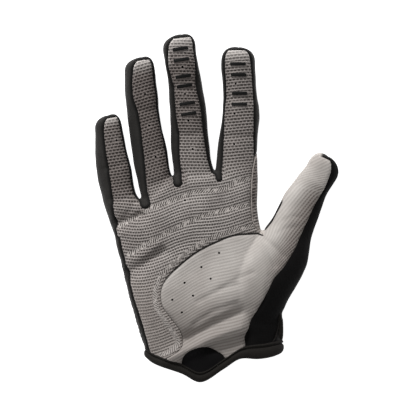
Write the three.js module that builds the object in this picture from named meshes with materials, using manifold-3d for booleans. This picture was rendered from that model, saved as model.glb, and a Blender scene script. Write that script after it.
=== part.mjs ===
// A right-hand, full-finger cycling glove that lies on its back with the palm up.
// Millimetres. +X points to the thumb side, +Y to the fingertips and +Z out of the palm.
// The cloth is one hollow skin of even thickness, cut along its seams into the sewn panels.
import * as THREE from "three";
import { mergeVertices } from "three/addons/utils/BufferGeometryUtils.js";
import Module from "manifold-3d";

// Driving sizes of the whole glove
const palmWidth = 92; // across the knuckles, cloth outside to outside
const palmLength = 108; // from the wrist line to the web between middle and index finger
const palmThickness = 25; // of the filled palm, at the wrist line
const cloth = 1.4; // thickness of every panel
const seamGap = 0.36; // open line between two panels
const backSeamHeight = 5; // where the back panel meets the side strips
const seamMargin = 0.5; // how far a palm-side seam stays clear of the wall's own edge
const tipSeamInset = 1.2; // from a fingertip back to the seam that rounds it
const curlLift = 7; // how far the fingertips lift off the surface
const curlStart = 0.2; // where the lift starts, as a share of the middle finger's length
const webDome = 7; // length of the rounded web between two fingers

// Sizes of the trim
const bindingWidth = 5; // elastic tape that closes the wrist hem
const bindingThickness = 2.2;
const barLength = 9.4; // raised grip bars on the index and middle finger
const barWidth = 1.8;
const barHeight = 0.5;
const barTilt = 2; // degrees that the middle finger's bars rise towards the thumb

// How finely the skin is faceted
const palmTopSteps = 14;
const palmBackSteps = 4;
const palmRows = 12;
const digitTopSteps = 8;
const digitBackSteps = 3;
const digitRows = 7;
const domeRows = 3;

// Each digit has its own size. Roots are shares of the palm's width and length, and
// each row is a cross-section: "along" is a share of the digit's length, "top" of its
// thickness, and the edges and seams are shares of its width, left or right of its axis.
const digits = {
  little: {
    length: 60, width: 19, thickness: 15, lean: -10,
    rootAcross: -0.632, rootUp: 0.837, domeStart: 0.86, tipShift: 0.06,
    rows: [
      { along: -0.26, left: -0.44, right: 0.44, seamLeft: -0.36, seamRight: 0.4, top: 1.3 },
      { along: 0, left: -0.56, right: 0.64, seamLeft: -0.34, seamRight: 0.58, top: 1.26 },
      { along: 0.15, left: -0.6, right: 0.52, seamLeft: -0.29, seamRight: 0.46, top: 1.1 },
      { along: 0.36, left: -0.63, right: 0.45, seamLeft: -0.25, seamRight: 0.42, top: 1 },
      { along: 0.6, left: -0.62, right: 0.41, seamLeft: -0.25, seamRight: 0.38, top: 0.97 },
      { along: 0.86, left: -0.48, right: 0.4, seamLeft: -0.2, seamRight: 0.36, top: 0.9 },
    ],
  },
  ring: {
    length: 87, width: 21, thickness: 17, lean: -8.2,
    rootAcross: -0.374, rootUp: 0.919, domeStart: 0.9, tipShift: 0.02,
    rows: [
      { along: -0.3, left: -0.44, right: 0.44, seamLeft: -0.4, seamRight: 0.4, top: 1.25 },
      { along: 0, left: -0.62, right: 0.52, seamLeft: -0.42, seamRight: 0.38, top: 1.2 },
      { along: 0.12, left: -0.69, right: 0.38, seamLeft: -0.4, seamRight: 0.35, top: 1.08 },
      { along: 0.34, left: -0.7, right: 0.32, seamLeft: -0.35, seamRight: 0.29, top: 1 },
      { along: 0.6, left: -0.68, right: 0.25, seamLeft: -0.34, seamRight: 0.22, top: 0.94 },
      { along: 0.72, left: -0.66, right: 0.28, seamLeft: -0.43, seamRight: 0.25, top: 0.97 },
      { along: 0.9, left: -0.58, right: 0.32, seamLeft: -0.36, seamRight: 0.27, top: 0.9 },
    ],
  },
  middle: {
    length: 93, width: 22, thickness: 18, lean: -6.6,
    rootAcross: -0.122, rootUp: 0.988, domeStart: 0.91, tipShift: 0.03,
    rows: [
      { along: -0.3, left: -0.44, right: 0.44, seamLeft: -0.42, seamRight: 0.4, top: 1.2 },
      { along: 0, left: -0.66, right: 0.58, seamLeft: -0.48, seamRight: 0.44, top: 1.16 },
      { along: 0.14, left: -0.7, right: 0.42, seamLeft: -0.48, seamRight: 0.34, top: 1.05 },
      { along: 0.34, left: -0.65, right: 0.4, seamLeft: -0.41, seamRight: 0.29, top: 0.98 },
      { along: 0.5, left: -0.58, right: 0.43, seamLeft: -0.44, seamRight: 0.3, top: 1 },
      { along: 0.66, left: -0.54, right: 0.38, seamLeft: -0.42, seamRight: 0.23, top: 0.93 },
      { along: 0.8, left: -0.55, right: 0.35, seamLeft: -0.49, seamRight: 0.29, top: 0.97 },
      { along: 0.91, left: -0.57, right: 0.34, seamLeft: -0.46, seamRight: 0.28, top: 0.9 },
    ],
  },
  index: {
    length: 83.5, width: 22.5, thickness: 18, lean: 0,
    rootAcross: 0.142, rootUp: 1, domeStart: 0.89, tipShift: -0.02,
    rows: [
      { along: -0.3, left: -0.44, right: 0.5, seamLeft: -0.42, seamRight: 0.4, top: 1.2 },
      { along: 0, left: -0.66, right: 0.53, seamLeft: -0.48, seamRight: 0.4, top: 1.16 },
      { along: 0.14, left: -0.62, right: 0.52, seamLeft: -0.45, seamRight: 0.44, top: 1.05 },
      { along: 0.3, left: -0.53, right: 0.53, seamLeft: -0.42, seamRight: 0.44, top: 1 },
      { along: 0.5, left: -0.43, right: 0.58, seamLeft: -0.4, seamRight: 0.43, top: 1 },
      { along: 0.64, left: -0.4, right: 0.52, seamLeft: -0.35, seamRight: 0.42, top: 0.94 },
      { along: 0.89, left: -0.46, right: 0.45, seamLeft: -0.39, seamRight: 0.36, top: 0.9 },
    ],
  },
  thumb: {
    length: 116, width: 26, thickness: 20, lean: 25,
    rootAcross: 0.224, rootUp: 0.172, domeStart: 0.91, tipShift: 0,
    rows: [
      { along: 0, left: -0.45, right: 0.5, seamLeft: -0.4, seamRight: -0.05, top: 1.1 },
      { along: 0.14, left: -0.8, right: 0.56, seamLeft: -0.6, seamRight: -0.06, top: 1.35 },
      { along: 0.25, left: -0.95, right: 0.57, seamLeft: -0.8, seamRight: 0, top: 1.42 },
      { along: 0.36, left: -0.9, right: 0.62, seamLeft: -0.9, seamRight: 0.12, top: 1.36 },
      { along: 0.46, left: -0.72, right: 0.57, seamLeft: -0.72, seamRight: 0.18, top: 1.22 },
      { along: 0.56, left: -0.6, right: 0.45, seamLeft: -0.6, seamRight: 0.19, top: 1.08 },
      { along: 0.72, left: -0.56, right: 0.37, seamLeft: -0.56, seamRight: 0.18, top: 0.96 },
      { along: 0.82, left: -0.47, right: 0.34, seamLeft: -0.47, seamRight: 0.23, top: 0.92 },
      { along: 0.91, left: -0.38, right: 0.4, seamLeft: -0.38, seamRight: 0.24, top: 0.85 },
    ],
  },
};

// The palm from hem (up 0) to web (up 1). Edges and seams are shares of its width from
// the glove's middle line, tops are shares of its thickness.
const palmSections = [
  { up: 0, left: -0.484, right: 0.44, seamLeft: -0.451, seamRight: 0.185, top: 0.88 },
  { up: 0.15, left: -0.535, right: 0.44, seamLeft: -0.498, seamRight: 0.215, top: 0.98 },
  { up: 0.3, left: -0.57, right: 0.415, seamLeft: -0.54, seamRight: 0.28, top: 1.08 },
  { up: 0.5, left: -0.615, right: 0.35, seamLeft: -0.588, seamRight: 0.29, top: 1.1 },
  { up: 0.7, left: -0.65, right: 0.295, seamLeft: -0.624, seamRight: 0.26, top: 1.04 },
  { up: 0.85, left: -0.68, right: 0.272, seamLeft: -0.65, seamRight: 0.25, top: 1 },
  { up: 1, left: -0.7, right: 0.268, seamLeft: -0.672, seamRight: 0.25, top: 0.94 },
];

// Height of the wrist hem on the palm side and on the back, and of the web line, as
// shares of the palm's length above the wrist line, across shares of the palm's width.
const hemLine = [
  { across: -0.5, palmSide: 0.045, backSide: 0.045 },
  { across: -0.43, palmSide: 0.005, backSide: 0.03 },
  { across: -0.24, palmSide: -0.05, backSide: 0.028 },
  { across: -0.11, palmSide: -0.098, backSide: 0.028 },
  { across: 0.04, palmSide: -0.025, backSide: 0.028 },
  { across: 0.17, palmSide: 0.045, backSide: 0.028 },
  { across: 0.34, palmSide: 0.066, backSide: 0.038 },
  { across: 0.44, palmSide: 0.085, backSide: 0.07 },
];
const webLine = [
  { across: -0.74, up: 0.7 },
  { across: -0.53, up: 0.832 },
  { across: -0.478, up: 0.84 },
  { across: -0.31, up: 0.962 },
  { across: -0.262, up: 0.975 },
  { across: 0.02, up: 1 },
  { across: 0.3, up: 0.97 },
];

// The reinforcing overlay's edge over the ball of the thumb, from the thumb's crotch to
// the rounded lobe at the heel of the hand.
const overlayEdge = [
  { across: 0.275, up: 0.7 },
  { across: 0.115, up: 0.689 },
  { across: -0.015, up: 0.647 },
  { across: -0.136, up: 0.593 },
  { across: -0.24, up: 0.526 },
  { across: -0.327, up: 0.455 },
  { across: -0.375, up: 0.383 },
  { across: -0.372, up: 0.294 },
  { across: -0.327, up: 0.235 },
  { across: -0.25, up: 0.145 },
  { across: -0.228, up: 0.085 },
  { across: -0.262, up: 0.03 },
  { across: -0.345, up: -0.018 },
];
// The seam between the index finger's grey side gusset and the palm, top to crotch.
const gussetSeam = [
  { across: 0.36, up: 1.2 },
  { across: 0.272, up: 1.16 },
  { across: 0.25, up: 1.107 },
  { across: 0.236, up: 1.03 },
  { across: 0.23, up: 0.92 },
  { across: 0.235, up: 0.806 },
  { across: 0.248, up: 0.752 },
  { across: 0.31, up: 0.69 },
];
// The open space between index finger and thumb, from their crotch upwards.
const thumbSpace = [
  { across: 0.31, up: 0.69 },
  { across: 0.33, up: 0.8 },
  { across: 0.37, up: 1 },
  { across: 0.42, up: 2.2 },
];
// The black stretch insert at the heel of the hand: a half moon that stands on the hem.
const wristInsert = { across: -0.088, up: -0.05, halfWidth: 0.152, height: 0.097 };
// The back panel turns up round the thumb-side corner of the cuff behind this line.
const cornerSeam = [
  { across: 0.5, up: 0.26 },
  { across: 0.44, up: 0.206 },
  { across: 0.41, up: 0.14 },
  { across: 0.387, up: 0.085 },
  { across: 0.38, up: -0.2 },
];

// Soft relief of the palm: pads rise and hollows sink, "spread" is their reach. Shares of
// the palm's width and length, rises in millimetres.
const pads = [
  { across: -0.42, up: 0.3, spreadAcross: 0.17, spreadUp: 0.26, rise: 3 },
  { across: -0.13, up: 0.5, spreadAcross: 0.22, spreadUp: 0.17, rise: -4.5 },
  { across: 0.13, up: 0.42, spreadAcross: 0.2, spreadUp: 0.22, rise: 2.5 },
  { across: -0.57, up: 0.7, spreadAcross: 0.1, spreadUp: 0.07, rise: 1.2 },
  { across: -0.37, up: 0.8, spreadAcross: 0.1, spreadUp: 0.08, rise: 1.4 },
  { across: -0.12, up: 0.83, spreadAcross: 0.1, spreadUp: 0.09, rise: 1.6 },
  { across: 0.13, up: 0.84, spreadAcross: 0.1, spreadUp: 0.09, rise: 1.4 },
];
// Folds and sewn channels of the palm, each along a line of points: "half" is half the
// width of the fold and a negative rise is a valley, both in millimetres.
const folds = [
  { name: "little finger crease", half: 3.4, rise: -2.2, path: [[-0.71, 0.79], [-0.51, 0.83]] },
  { name: "heel crease", half: 4, rise: -2.2, path: [[-0.61, 0.49], [-0.37, 0.62]] },
  { name: "roll above the heel crease", half: 4, rise: 1, path: [[-0.56, 0.57], [-0.36, 0.68]] },
  { name: "ball of thumb valley", half: 4, rise: -1.6, path: [[-0.19, 0.14], [0.14, 0.3]] },
  { name: "roll over the insert", half: 4.6, rise: 2.4, path: [[-0.33, 0.01], [0.16, 0.19]] },
  { name: "insert valley", half: 4, rise: -1.6, path: [[-0.03, 0.085], [0.18, 0.14]] },
  { name: "upper sewn channel", half: 2.6, rise: -1, path: [[-0.64, 0.74], [-0.39, 0.87], [-0.15, 0.94], [0.22, 1.01]] },
  { name: "lower sewn channel", half: 2.6, rise: -1.2, path: [[-0.59, 0.58], [-0.39, 0.68], [-0.2, 0.77], [-0.03, 0.82], [0.2, 0.87]] },
];

// Grip bars: how far along each finger they sit, in pairs.
const gripBars = {
  middle: { places: [0.903, 0.83, 0.72, 0.657, 0.539, 0.469], tilt: barTilt },
  index: { places: [0.87, 0.79, 0.652, 0.572], tilt: 0 },
};

const wasm = await Module();
wasm.setup();

// A smooth reading of one column of a table at a place between its rows.
function read(rows, key, place, column) {
  const last = rows.length - 1;
  if (place <= rows[0][key]) return rows[0][column];
  if (place >= rows[last][key]) return rows[last][column];
  const i = rows.findIndex((row) => row[key] > place) - 1;
  const slope = (k) => {
    const a = rows[Math.max(k - 1, 0)];
    const b = rows[Math.min(k + 1, last)];
    return (b[column] - a[column]) / (b[key] - a[key]);
  };
  const span = rows[i + 1][key] - rows[i][key];
  const t = (place - rows[i][key]) / span;
  return (
    rows[i][column] * (1 + 2 * t) * (1 - t) ** 2 +
    slope(i) * span * t * (1 - t) ** 2 +
    rows[i + 1][column] * t * t * (3 - 2 * t) +
    slope(i + 1) * span * t * t * (t - 1)
  );
}

const radians = THREE.MathUtils.degToRad;
const xAt = (across) => across * palmWidth;
const yAt = (up) => up * palmLength;
const spot = ({ across, up }) => new THREE.Vector2(xAt(across), yAt(up));

// How far a place of the palm side rises or sinks from the plain skin.
function relief(x, y) {
  let rise = 0;
  for (const pad of pads) {
    const dx = (x - xAt(pad.across)) / xAt(pad.spreadAcross);
    const dy = (y - yAt(pad.up)) / yAt(pad.spreadUp);
    rise += pad.rise * Math.exp(-dx * dx - dy * dy);
  }
  const here = new THREE.Vector3(x, y, 0);
  for (const fold of folds) {
    let nearest = Infinity;
    for (let i = 0; i + 1 < fold.path.length; i++) {
      const ends = [fold.path[i], fold.path[i + 1]].map(
        ([across, up]) => new THREE.Vector3(xAt(across), yAt(up), 0),
      );
      const foot = new THREE.Line3(...ends).closestPointToPoint(here, true, new THREE.Vector3());
      nearest = Math.min(nearest, foot.distanceTo(here));
    }
    rise += fold.rise * Math.exp(-((nearest / fold.half) ** 2));
  }
  return rise;
}

const waistShare = 0.45; // height of a section's widest place
const topPower = 2.3; // squareness of a section's upper half
const underPower = 2.6; // and of its lower half, which lies flat
const underReach = 1.4; // the lower half is cut off flat at this share of its depth
const power = (value, exponent) => Math.sign(value) * Math.abs(value) ** (2 / exponent);

// One closed cross-section, as places across and high, from the right side over the top.
// "ridge" is the across place of its highest point. "share" flattens it towards its waist
// and "acrossShare" narrows it towards its ridge.
function sectionRing(section) {
  const { left, right, ridge, top, floor, topSteps, backSteps, share, acrossShare } = section;
  const waist = waistShare * top;
  const ring = [];
  for (let i = 0; i < topSteps + backSteps; i++) {
    const upper = i <= topSteps;
    const angle = upper ? (Math.PI * i) / topSteps : Math.PI * (1 + (i - topSteps) / backSteps);
    const exponent = upper ? topPower : underPower;
    const reach = Math.cos(angle) > 0 ? right - ridge : ridge - left;
    const across = ridge + acrossShare * reach * power(Math.cos(angle), exponent);
    const swing = power(Math.sin(angle), exponent);
    const height = upper
      ? waist + share * (top - waist) * swing
      : waist + share * Math.max(waist * underReach * swing, floor - waist);
    ring.push({ across, height, upness: upper ? share * Math.sin(angle) : 0 });
  }
  return ring;
}

// The part of a section that a palm-side panel covers: a fan whose two sides cross the
// skin squarely at the seams. "shift" moves both sides outwards.
const fanReach = 1.5; // how far the fan stands out past the skin
const fanHeight = 16; // and how high it stands over it
function fanRing(section, seamLeft, seamRight, shift) {
  const { left, right, ridge, top, share, acrossShare } = section;
  const waist = waistShare * top;
  const side = (sign, seam, edge) => {
    const span = Math.abs(edge - ridge);
    const reach = Math.min(Math.abs(seam - ridge), span - seamMargin);
    const rise = (top - waist) * (1 - (reach / span) ** topPower) ** (1 / topPower);
    const depth = Math.min(0.8 * reach, 0.4 * top);
    const apex = new THREE.Vector2(ridge + sign * acrossShare * (reach - depth), waist);
    const out = new THREE.Vector2(sign * acrossShare * depth, share * rise);
    const normal = new THREE.Vector2(sign * out.y, -sign * out.x).setLength(shift);
    const tip = apex.clone().add(out.setLength(out.length() + fanReach)).add(normal);
    return [apex.add(normal), tip];
  };
  const [rightApex, rightTip] = side(1, seamRight, right);
  const [leftApex, leftTip] = side(-1, seamLeft, left);
  const high = top + fanHeight;
  const corners = [
    rightApex, rightTip, new THREE.Vector2(rightTip.x, high),
    new THREE.Vector2(leftTip.x, high), leftTip, leftApex,
  ];
  return corners.map((corner) => ({ across: corner.x, height: corner.y, upness: 0 }));
}

function solidOf(geometry) {
  const bare = new THREE.BufferGeometry();
  bare.setAttribute("position", geometry.getAttribute("position"));
  bare.setIndex(geometry.getIndex());
  const merged = mergeVertices(bare, 1e-4);
  const corners = Array.from(merged.index.array);
  const triVerts = [];
  for (let i = 0; i < corners.length; i += 3) {
    const [a, b, c] = corners.slice(i, i + 3);
    if (a !== b && b !== c && c !== a) triVerts.push(a, b, c);
  }
  const vertProperties = merged.attributes.position.array;
  const make = (order) =>
    new wasm.Manifold(new wasm.Mesh({ numProp: 3, vertProperties, triVerts: new Uint32Array(order) }));
  const solid = make(triVerts);
  return solid.volume() > 0 ? solid : make(triVerts.reverse());
}

// A closed skin through rings of one size, its two ends closed across.
function skin(rings) {
  const size = rings[0].length;
  const index = [];
  for (let r = 0; r + 1 < rings.length; r++)
    for (let i = 0; i < size; i++) {
      const j = (i + 1) % size;
      const [a, b] = [r * size + i, r * size + j];
      index.push(a, b, b + size, a, b + size, a + size);
    }
  const closeEnd = (ring, start, turned) => {
    const flat = ring.map((point) => new THREE.Vector2(point.across, point.height));
    for (const [a, b, c] of THREE.ShapeUtils.triangulateShape(flat, []))
      index.push(start + a, start + (turned ? c : b), start + (turned ? b : c));
  };
  closeEnd(rings[0], 0, true);
  closeEnd(rings.at(-1), (rings.length - 1) * size, false);
  const geometry = new THREE.BufferGeometry();
  const corners = rings.flat().flatMap(({ place }) => place.toArray());
  geometry.setAttribute("position", new THREE.Float32BufferAttribute(corners, 3));
  geometry.setIndex(index);
  return solidOf(geometry);
}

// A digit's place in plan, along and across its own axis in millimetres.
function digitPlace(digit, alongMm, acrossMm) {
  const lean = radians(digit.lean);
  return new THREE.Vector2(
    xAt(digit.rootAcross) + alongMm * Math.sin(lean) + acrossMm * Math.cos(lean),
    yAt(digit.rootUp) + alongMm * Math.cos(lean) - acrossMm * Math.sin(lean),
  );
}

// The sizes of a digit's section at a share of its length; "grow" thickens it all round.
function digitSection(digit, along, grow) {
  const column = (name) => read(digit.rows, "along", along, name);
  return {
    left: digit.width * column("left") - grow,
    right: digit.width * column("right") + grow,
    ridge: (digit.width * (column("seamLeft") + column("seamRight"))) / 2,
    seams: [digit.width * column("seamLeft"), digit.width * column("seamRight")],
    top: digit.thickness * column("top") + grow,
    floor: Math.max(0, -grow),
    share: 1,
    acrossShare: 1,
    topSteps: digitTopSteps,
    backSteps: digitBackSteps,
  };
}

// The rings of a digit from its root to "tipInset" short of its tip. "extra" starts it
// that much earlier.
const domePower = 2.4; // bluntness of a fingertip seen from above
function digitRings(digit, grow, tipInset, extra, ringOf) {
  const start = digit.rows[0].along;
  const rings = [];
  const addRing = (alongMm, section) => {
    const shift = digit.width * digit.tipShift * (1 - section.share);
    const ring = ringOf(section);
    for (const point of ring) {
      const plan = digitPlace(digit, alongMm, point.across + shift);
      const rise = relief(plan.x, plan.y) * point.upness;
      point.place = new THREE.Vector3(plan.x, plan.y, point.height + rise);
    }
    rings.push(ring);
  };
  for (let r = 0; r <= digitRows; r++) {
    const along = start + ((digit.domeStart - start) * r) / digitRows;
    addRing(along * digit.length - (r === 0 ? extra : 0), digitSection(digit, along, grow));
  }
  const section = digitSection(digit, digit.domeStart, grow);
  const domeLength = (1 - digit.domeStart) * digit.length + grow;
  const furthest = Math.asin(Math.min(1 - tipInset / domeLength, domeCap, 1));
  for (let r = 1; r <= domeRows; r++) {
    const reach = Math.sin((r / domeRows) * furthest);
    const share = (1 - reach ** domePower) ** (1 / domePower);
    const alongMm = digit.domeStart * digit.length + domeLength * reach;
    addRing(alongMm, { ...section, share, acrossShare: share });
  }
  return rings;
}
const domeCap = 0.99; // a dome ends flat at this share of its reach
const digitSkin = (digit, grow) => skin(digitRings(digit, grow, 0, 0, sectionRing));
const digitFan = (digit, shift) =>
  skin(
    digitRings(digit, 0, tipSeamInset - shift, shift, (section) =>
      fanRing(section, ...section.seams, shift),
    ),
  );

// One ring of the palm. "up" runs from the hem (0) to the web line (1), "past" moves it
// along the palm in millimetres.
function palmRing(up, grow, past, share, ringOf) {
  const column = (name) => read(palmSections, "up", up, name);
  const section = {
    left: palmWidth * column("left") - grow,
    right: palmWidth * column("right") + grow,
    seams: [palmWidth * column("seamLeft"), palmWidth * column("seamRight")],
    top: palmThickness * column("top") + grow,
    floor: Math.max(0, -grow),
    share: 1 - (1 - share) * webFlattening,
    acrossShare: 1 - (1 - share) * webNarrowing,
    topSteps: palmTopSteps,
    backSteps: palmBackSteps,
  };
  section.ridge = (section.left + section.right) / 2;
  const plainShare = (section.right - section.ridge - grow) / (section.right - section.ridge);
  const ring = ringOf(section);
  for (const point of ring) {
    const plain = section.ridge + (point.across - section.ridge) * plainShare;
    const across = plain / palmWidth;
    const palmSide = THREE.MathUtils.smoothstep(point.height, 0.2 * section.top, 0.8 * section.top);
    const hem = THREE.MathUtils.lerp(
      read(hemLine, "across", across, "backSide"),
      read(hemLine, "across", across, "palmSide"),
      palmSide,
    );
    const web = read(webLine, "across", across, "up");
    const y = yAt(hem + (web - hem) * up) + past;
    const rise = relief(point.across, y) * point.upness;
    point.place = new THREE.Vector3(point.across, y, point.height + rise);
  }
  return ring;
}
const webFlattening = 0.5; // how far the palm thins towards the webs
const webNarrowing = 0.04;

function palmRings(grow, startUp, webReach, ringOf) {
  const rings = [];
  for (let r = 0; r <= palmRows; r++)
    rings.push(palmRing(startUp + ((1 - startUp) * r) / palmRows, grow, 0, 1, ringOf));
  for (let r = 1; r <= domeRows; r++) {
    const reach = Math.sin((r / domeRows) * Math.asin(webReach));
    const share = Math.sqrt(1 - reach * reach);
    rings.push(palmRing(1, grow, (webDome + grow) * reach, share, ringOf));
  }
  return rings;
}
const belowHem = -0.14; // the hollow and the cutters run out past the hem
const lip = 3 * cloth; // an open end turns inwards this far, so that its edge is even
const palmSkin = (grow, startUp) =>
  skin([
    palmRing(startUp, grow - lip, 0, 1, sectionRing),
    ...palmRings(grow, startUp, domeCap, sectionRing),
  ]);
const palmFan = (shift) =>
  skin(
    palmRings(0, belowHem, webSeamReach + shift / webDome, (section) =>
      fanRing(section, ...section.seams, shift),
    ),
  );
const webSeamReach = 0.05; // the palm panel ends at this share of the web's dome

const joined = (solids) => wasm.Manifold.union(solids);
const allDigits = Object.values(digits);
const outside = joined([palmSkin(0, 0), ...allDigits.map((digit) => digitSkin(digit, 0))]);
const hollow = joined([
  palmSkin(-cloth, belowHem),
  ...allDigits.map((digit) => digitSkin(digit, -cloth)),
]);

// Cutters. Each is a function of "shift", which moves its sewn edges outwards, so that
// two neighbours cut with opposite shifts leave the seam's open line between them.
const reachAll = 4 * (palmWidth + palmLength);
function prism(points, lowest = -reachAll) {
  const shape = new THREE.Shape(points);
  const geometry = new THREE.ExtrudeGeometry(shape, { depth: 2 * reachAll, bevelEnabled: false });
  return solidOf(geometry.translate(0, 0, lowest));
}
// A line of points moved sideways to its right, seen along its run.
function moved(points, distance) {
  return points.map((point, i) => {
    const run = points[Math.min(i + 1, points.length - 1)]
      .clone()
      .sub(points[Math.max(i - 1, 0)]);
    return point.clone().add(new THREE.Vector2(run.y, -run.x).setLength(distance));
  });
}
const far = (across, up) => new THREE.Vector2(across * reachAll, up * reachAll);
const above = (shift) => {
  const box = new THREE.BoxGeometry(reachAll, reachAll, reachAll);
  return solidOf(box.translate(0, 0, reachAll / 2 + backSeamHeight - shift));
};
const front = (shift) =>
  joined([palmFan(shift), ...allDigits.map((digit) => digitFan(digit, shift))]);
const openSpace = thumbSpace.map(spot);
const gussetArea = (shift) =>
  prism([...moved(gussetSeam.map(spot), shift), ...openSpace.slice(1, 3)]).intersect(above(shift));
const overlayArea = (shift) =>
  prism([
    ...moved(overlayEdge.map(spot), -shift).reverse(),
    ...openSpace, far(0, 1), far(-1, 1), far(-1, -1),
  ]);
const insertArea = (shift) => {
  const middle = spot(wristInsert);
  const wide = xAt(wristInsert.halfWidth) + shift;
  const arc = new THREE.EllipseCurve(
    middle.x, middle.y, wide, yAt(wristInsert.height) + shift, 0, Math.PI,
  );
  const foot = middle.y - palmLength / 2;
  return prism([
    ...arc.getPoints(16), new THREE.Vector2(middle.x - wide, foot),
    new THREE.Vector2(middle.x + wide, foot),
  ]);
};
const cornerArea = (shift) => prism([...moved(cornerSeam.map(spot), shift), far(0.3, -0.3)]);
// The area between the middle lines of two digits, or outside one of them.
const palmMiddle = spot({ across: -0.2, up: 0.4 });
const belowMiddle = new THREE.Vector2(palmMiddle.x, -reachAll);
function areaBetween(leftDigit, rightDigit, shift) {
  const ray = (digit, sign) =>
    [digit.rows[0].along, 3].map((along) => digitPlace(digit, along * digit.length, sign * shift));
  const leftLine = leftDigit ? ray(leftDigit, -1) : [belowMiddle, far(-1, -1), far(-1, 1)];
  const rightLine = rightDigit ? ray(rightDigit, 1) : [belowMiddle, far(1, -1), far(1, 1)];
  return prism([palmMiddle, ...leftLine, ...rightLine.reverse()]);
}
const indexHalf = (shift) => prism([...moved(openSpace, shift), far(-1, 1), far(-1, -1)]);
const thumbHalf = (shift) => prism([...moved(openSpace, -shift), far(1, 1), far(1, -1)]);

// Each panel claims its area of the skin in turn; what it leaves lies a seam gap away.
const panels = {};
let rest = outside.subtract(hollow);
function claim(name, area) {
  const parts = rest.intersect(area(-seamGap / 2)).decompose();
  panels[name] = parts.reduce((best, part) => (part.volume() > best.volume() ? part : best));
  rest = rest.subtract(area(seamGap / 2)).subtract(panels[name]);
}
const { little, ring, middle, index, thumb } = digits;
claim("index_gusset", gussetArea);
claim("wrist_insert", (shift) => front(shift).intersect(insertArea(shift)));
claim("palm_panel", (shift) => front(shift).intersect(overlayArea(shift)));
claim("thenar_panel", front);
claim("back_panel", (shift) => {
  const everything = prism([far(-1, -1), far(1, -1), far(1, 1), far(-1, 1)]);
  return everything.subtract(above(-shift)).add(cornerArea(shift));
});
claim("ulnar_side", (shift) => areaBetween(null, little, shift));
claim("little_ring_fourchette", (shift) => areaBetween(little, ring, shift));
claim("ring_middle_fourchette", (shift) => areaBetween(ring, middle, shift));
claim("middle_index_fourchette", (shift) => areaBetween(middle, index, shift));
claim("index_side", (shift) => areaBetween(index, thumb, shift).intersect(indexHalf(shift)));
claim("thumb_inner_side", (shift) => areaBetween(index, thumb, shift).intersect(thumbHalf(shift)));
claim("thumb_outer_side", (shift) => areaBetween(thumb, null, shift));

// The elastic tape is a closed band that follows the hem just below it.
const tapeStand = (bindingThickness - cloth) / 2;
const tapeStart = 2 * seamGap;
const band = (grow, from, to) => {
  const turns = [[grow - lip, from], [grow, from], [grow, to], [grow - lip, to]];
  return skin(turns.map(([size, past]) => palmRing(0, size, -past, 1, sectionRing)));
};
const tapeEnd = tapeStart + bindingWidth;
panels.cuff_binding = band(tapeStand, tapeStart, tapeEnd).subtract(
  band(-cloth - tapeStand, -palmLength / 4, palmLength / 4),
);

// A grip bar follows the curve of the finger a seam gap above it.
function gripBar(digit, layer, place, tilt) {
  const { ridge } = digitSection(digit, place, 0);
  const slope = Math.tan(radians(tilt));
  const corners = [[-1, -1], [1, -1], [1, 1], [-1, 1]].map(([end, side]) => {
    const alongMm = (end * slope * barLength + side * barWidth) / 2;
    return digitPlace(digit, place * digit.length + alongMm, ridge + (end * barLength) / 2);
  });
  return layer.intersect(prism(corners)).intersect(above(0));
}
for (const [name, { places, tilt }] of Object.entries(gripBars)) {
  const digit = digits[name];
  const layer = digitSkin(digit, seamGap + barHeight).subtract(digitSkin(digit, seamGap));
  places.forEach((place, i) => {
    panels[`${name}_bar_${i + 1}`] = gripBar(digit, layer, place, tilt);
  });
}

// The relaxed fingers lift off the surface from their middle outwards.
const curlFrom = palmLength + curlStart * middle.length;
const curlReach = (1 - curlStart) * middle.length;
const curl = (y) => curlLift * (Math.max(0, y - curlFrom) / curlReach) ** 2;

const finishes = {
  palm_panel: { color: 0x6f6764, roughness: 0.85 },
  thenar_panel: { color: 0xaca7a3, roughness: 0.85 },
  index_gusset: { color: 0x8a837f, roughness: 0.85 },
  wrist_insert: { color: 0x0e0c0d, roughness: 0.9 },
  cuff_binding: { color: 0x252220, roughness: 0.8 },
  bar: { color: 0x141414, roughness: 0.6 },
  black: { color: 0x1b1919, roughness: 0.9 },
};
function finishOf(name) {
  const kind = name.includes("_bar_") ? "bar" : name in finishes ? name : "black";
  return new THREE.MeshStandardMaterial({ ...finishes[kind], metalness: 0 });
}

const glove = new THREE.Group();
glove.name = "cycling_glove";
for (const [name, solid] of Object.entries(panels)) {
  const { vertProperties, triVerts, numProp } = solid.getMesh();
  const corners = [];
  for (let i = 0; i < vertProperties.length; i += numProp) {
    const [x, y, z] = vertProperties.subarray(i, i + 3);
    corners.push(x, y, z + curl(y));
  }
  const geometry = new THREE.BufferGeometry();
  geometry.setAttribute("position", new THREE.Float32BufferAttribute(corners, 3));
  geometry.setIndex(Array.from(triVerts));
  geometry.computeVertexNormals();
  const mesh = new THREE.Mesh(geometry, finishOf(name));
  mesh.name = name;
  glove.add(mesh);
}

// The frame's origin is the middle of the glove's bounding box, on the surface below it.
const bounds = new THREE.Box3().setFromObject(glove);
const centre = bounds.getCenter(new THREE.Vector3());
for (const mesh of glove.children) mesh.geometry.translate(-centre.x, -centre.y, -bounds.min.z);

export default glove;
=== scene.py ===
import math
import bmesh
import bpy
import numpy as np
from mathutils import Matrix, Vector, bvhtree, kdtree, noise


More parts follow.
